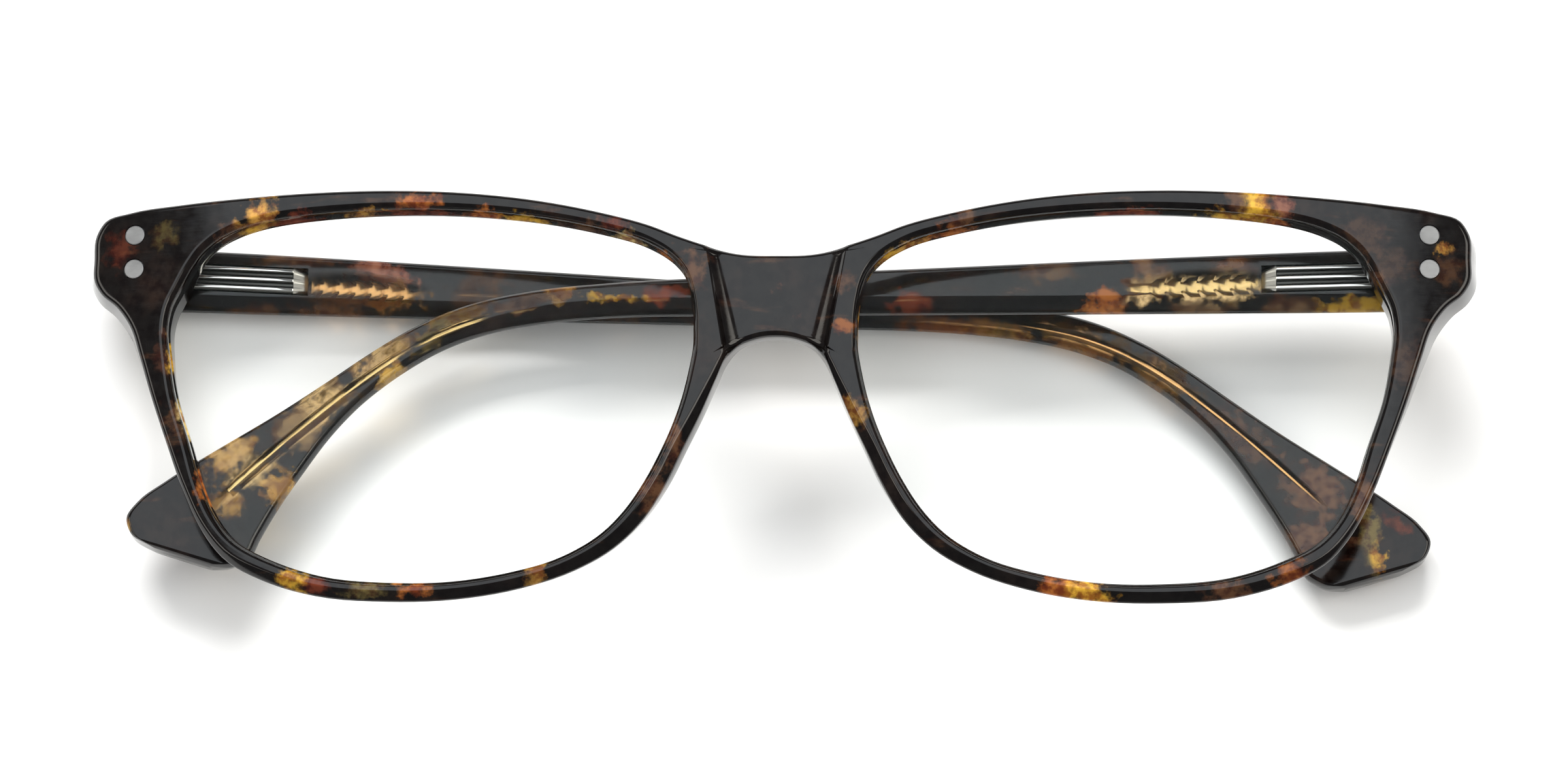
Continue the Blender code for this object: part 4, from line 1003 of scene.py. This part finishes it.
def front_acetate():
    """Patches are placed by x, y and the depth behind the front's curved face."""
    material, tree = new_material("tortoiseshell_front")
    across, up, out = split(tree, place_on_front(tree))
    sag = maths(tree, "MULTIPLY", maths(tree, "MULTIPLY", across, across), 0.5 / BASE_RADIUS)
    depth = maths(tree, "MULTIPLY", maths(tree, "ADD", out, sag), -1.0)
    place = node(tree, "CombineXYZ", {0: across, 1: up, 2: depth})
    colour = acetate_base(tree, place, 0.02)
    ragged = shaken(tree, place, *FRONT_SHAKE)
    flecks = fleck(tree, place)
    for x, y, half_length, half_height, turned, (layer, reach), tint, strength in FRONT_PATCHES:
        share = patch_share(
            tree, ragged, flecks, (x, y, layer), (half_length, half_height, reach), turned,
            PATCH_SOFT, strength,
        )
        colour = mix_colour(tree, share, colour, tint)
    return ended(material, polished(tree, place, mottled(tree, place, colour)))


def temple_acetate(side, word, patches, windows, see_through):
    """As the front, but partly clear, so that the core wire shows."""
    material, tree = new_material(f"tortoiseshell_temple_{word}")
    place = place_on_temple(tree, side, word)
    colour = acetate_base(tree, place, 0.06)
    clear = 0.0
    ragged = shaken(tree, place, *TEMPLE_SHAKE)
    flecks = fleck(tree, place)
    for s, y, half_length, half_height, turned, tint, strength, clearness in patches:
        centre, reach = (s, y, TEMPLE_MIDDLE_W), (half_length, half_height, RIGHT_THROUGH)
        share = patch_share(tree, ragged, flecks, centre, reach, turned, PATCH_SOFT, 1.0)
        colour = mix_colour(tree, maths(tree, "MULTIPLY", share, strength), colour, tint)
        clear = mix_value(tree, share, clear, clearness)
    for start, end, half_height, clearness in windows:
        low, high = core_height(start), core_height(end)
        centre = ((start + end) / 2, (low + high) / 2, TEMPLE_MIDDLE_W)
        reach = (math.dist((start, low), (end, high)) / 2, half_height, RIGHT_THROUGH)
        turned = math.degrees(math.atan2(high - low, end - start))
        share = patch_share(tree, place, 0.0, centre, reach, turned, WINDOW_SOFT, clearness)
        clear = maths(tree, "MAXIMUM", clear, share)
    body = polished(tree, place, mottled(tree, place, colour))
    through = node(tree, "BsdfTransparent", {"Color": see_through})
    return ended(material, node(tree, "MixShader", {0: clear, 1: body, 2: through}))


def pad_acetate():
    material, tree = new_material("tortoiseshell_pads")
    place = place_on_front(tree)
    return ended(material, polished(tree, place, acetate_base(tree, place, 0.08)))


def metallic(tree, colour, roughness, grain, bump):
    return node(tree, "BsdfPrincipled", {
        "Base Color": colour, "Roughness": roughness, "Metallic": 1.0,
        "Normal": bumps(tree, grain, bump),
    })


def metal(name, tint, rough, grain_scale, grain_axis, spread=0.08, bump=0.1):
    """Metal with drawn or brushed grain along one axis, and a slightly uneven tone."""
    material, tree = new_material(name)
    where = model_place(tree)
    stretch = [grain_scale / MM] * 3
    stretch[grain_axis] *= 0.08
    grain_place = node(tree, "Mapping", {"Vector": where, "Scale": stretch})
    grain = noise(tree, grain_place, 1.0, 3.0, roughness=0.6)
    tone = noise(tree, where, 0.35 / MM, 2.0)
    dark = (*(0.8 * value for value in tint), 1.0)
    colour = mix_colour(tree, ramp(tree, tone, 0.35, 0.65), dark, (*tint, 1.0))
    roughness = ramp(tree, grain, 0.3, 0.7, rough, rough + spread)
    return ended(material, metallic(tree, colour, roughness, grain, bump))


def case_silver(side, word):
    """Polished nickel silver, with painted shade darkening the flutes, and satin on the slanted
    end.
    """
    material, tree = new_material(f"case_silver_{word}")
    place = place_on_temple(tree, side, word)
    s, _, w = split(tree, place)
    lengthwise = node(tree, "Mapping", {"Vector": place, "Scale": (0.15, 3.0, 3.0)})
    wear_and_shade_edge = noise(tree, lengthwise, 1.2, 3.0)
    # Painted shade: below the ridge tops the flutes are coloured near black, and only the ridges
    # keep the bright silver.
    high = ramp(
        tree, maths(tree, "MULTIPLY_ADD", wear_and_shade_edge, 0.08, w), CASE_W[0] + 0.12, CASE_W[0] + 0.05
    )
    colour = mix_colour(tree, high, (0.1, 0.098, 0.092, 1.0), (0.88, 0.87, 0.84, 1.0))
    end_start = CASE_S[1] - CASE_SLANT[0][0]
    at_end = ramp(tree, s, end_start, end_start + 0.15)
    colour = mix_colour(tree, at_end, colour, (0.62, 0.61, 0.57, 1.0))
    dull = maths(tree, "MAXIMUM", at_end, maths(tree, "SUBTRACT", 1.0, high))
    roughness = maths(tree, "MULTIPLY_ADD", dull, 0.3, ramp(tree, wear_and_shade_edge, 0.3, 0.7, 0.05, 0.1))
    return ended(material, metallic(tree, colour, roughness, wear_and_shade_edge, 0.04))


def clear_lens():
    """Clear, coated against reflections, with a faint smear."""
    material, tree = new_material("clear_lens")
    smear = ramp(tree, noise(tree, model_place(tree), 0.08 / MM, 3.0), 0.4, 0.7, 0.02, 0.06)
    gloss = node(tree, "BsdfGlossy", {"Color": (0.9, 1.0, 0.95, 1.0), "Roughness": smear})
    through = node(tree, "BsdfTransparent", {"Color": (0.995, 1.0, 0.998, 1.0)})
    edge_on = node(tree, "LayerWeight", {"Blend": 0.5}, out=1)
    share = maths(tree, "MULTIPLY_ADD", maths(tree, "POWER", edge_on, 4.0), 0.3, 0.003)
    return ended(material, node(tree, "MixShader", {0: share, 1: through, 2: gloss}))


# The studio.

FLOOR_HALF, FLOOR_DROP = 1.6, 0.0001
WORLD = (0.17, 0.17, 0.175, 1.0)
WARM = (1.0, 0.96, 0.88)
# Soft boxes, all aimed at the origin: name, place, size, radiance, colour, mirrored.
PANELS = (
    ("overhead", (-0.1, 0.35, 1.15), (1.1, 1.0), 1.5, (0.9, 0.96, 1.0), True),
    ("key", (-0.2, 0.9, 1.0), (0.9, 0.4), 19.0, (1.0, 0.99, 0.97), False),
    ("side_right", (0.85, 0.0, 0.92), (0.8, 0.7), 3.1, WARM, True),
    ("side_left", (-0.95, 0.0, 0.8), (0.8, 0.5), 2.6, WARM, True),
    ("fill", (0.0, -0.45, 1.1), (1.0, 0.5), 1.2, (1.0, 1.0, 1.0), False),
)
CAMERA_LENS, CAMERA_SENSOR, CAMERA_AWAY = 185.3, 36.0, 0.8
CAMERA_TARGET = (0.00097, 0.0001, 0.0)
CAMERA_TIP, CAMERA_ROLL = math.radians(13.0), math.radians(0.72)


def pale_floor():
    material, tree = new_material("pale_floor")
    tone = ramp(tree, noise(tree, model_place(tree), 3.0, 2.0), 0.3, 0.7)
    colour = mix_colour(tree, tone, (0.92, 0.92, 0.92, 1.0), (0.94, 0.94, 0.94, 1.0))
    return ended(material, node(tree, "BsdfDiffuse", {"Color": colour}))


def make_floor():
    bm = bmesh.new()
    bmesh.ops.create_grid(bm, x_segments=4, y_segments=4, size=FLOOR_HALF)
    mesh = to_mesh(bm, "floor", Matrix.Translation((0.0, 0.0, -FLOOR_DROP)))
    floor = bpy.data.objects.new("floor", mesh)
    bpy.context.scene.collection.objects.link(floor)
    floor.data.materials.append(pale_floor())


def make_panel(name, place, size, radiance, colour, mirrored):
    """A soft box of even brightness; one that isn't mirrored only lights, without glints."""
    light = bpy.data.lights.new(name, "AREA")
    light.shape = "RECTANGLE"
    light.size, light.size_y = size
    light.energy = math.pi * size[0] * size[1] * radiance
    light.color = colour
    panel = bpy.data.objects.new(name, light)
    bpy.context.scene.collection.objects.link(panel)
    panel.location = place
    panel.rotation_mode = "QUATERNION"
    panel.rotation_quaternion = (-Vector(place)).to_track_quat("-Z", "Y")
    panel.visible_glossy = mirrored


def make_lights():
    for panel in PANELS:
        make_panel(*panel)
    world = bpy.data.worlds.new("studio")
    world.use_nodes = True
    world.node_tree.nodes["Background"].inputs["Color"].default_value = WORLD
    bpy.context.scene.world = world


def make_camera():
    """The viewpoint, tipped from straight above towards the wearer's chin."""
    data = bpy.data.cameras.new("camera")
    data.lens = CAMERA_LENS
    data.sensor_width = CAMERA_SENSOR
    camera = bpy.data.objects.new("camera", data)
    bpy.context.scene.collection.objects.link(camera)
    back = Vector((0.0, -math.sin(CAMERA_TIP), math.cos(CAMERA_TIP)))
    camera.location = FRONT @ Vector(CAMERA_TARGET) + CAMERA_AWAY * back
    camera.rotation_mode = "QUATERNION"
    roll = Matrix.Rotation(CAMERA_ROLL, 4, "Z").to_quaternion()
    camera.rotation_quaternion = Matrix.Rotation(CAMERA_TIP, 4, "X").to_quaternion() @ roll
    bpy.context.scene.camera = camera


def dress(material, nodes):
    """Gives CAD nodes that stay a better material."""
    for name in nodes:
        mesh = frame["nodes"][name].data
        mesh.materials.clear()
        mesh.materials.append(material)


def main():
    front = front_acetate()
    pads = pad_acetate()
    clear = clear_lens()
    rivets = metal("rivet_silver", (0.42, 0.42, 0.42), 0.5, 6.0, 0)
    wire = metal("wire_silver", (1.0, 0.93, 0.78), 0.14, 8.0, 0, 0.05, 0.05)
    hinge = metal("hinge_silver", (0.66, 0.65, 0.62), 0.25, 5.0, 1)
    screw = metal("turned_steel", (0.6, 0.6, 0.62), 0.22, 6.0, 2)
    spring = metal("spring_steel", (0.45, 0.45, 0.48), 0.3, 8.0, 0)
    make_front(front)
    for side, word, patches, windows, see_through in (
        (1, "right", RIGHT_PATCHES, RIGHT_WINDOWS, HONEY),
        (-1, "left", LEFT_PATCHES, LEFT_WINDOWS, SALMON),
    ):
        make_lens(side, word, clear)
        make_nose_pad(side, word, pads)
        for y, place_word in zip(RIVET_YS, ("lower", "upper")):
            make_rivet(side, word, y, place_word, rivets)
        make_temple(side, word, temple_acetate(side, word, patches, windows, see_through))
        make_case(side, word, case_silver(side, word))
        make_core_wire(side, word, wire)
        dress(hinge, (f"hinge_plate_{word}", f"hinge_slider_{word}"))
        dress(screw, (f"hinge_screw_{word}", f"rod_nut_{word}", f"spring_stop_{word}"))
        dress(spring, (f"flex_spring_{word}",))
    make_floor()
    make_lights()
    make_camera()
    bpy.context.scene.view_settings.view_transform = "Standard"


main()
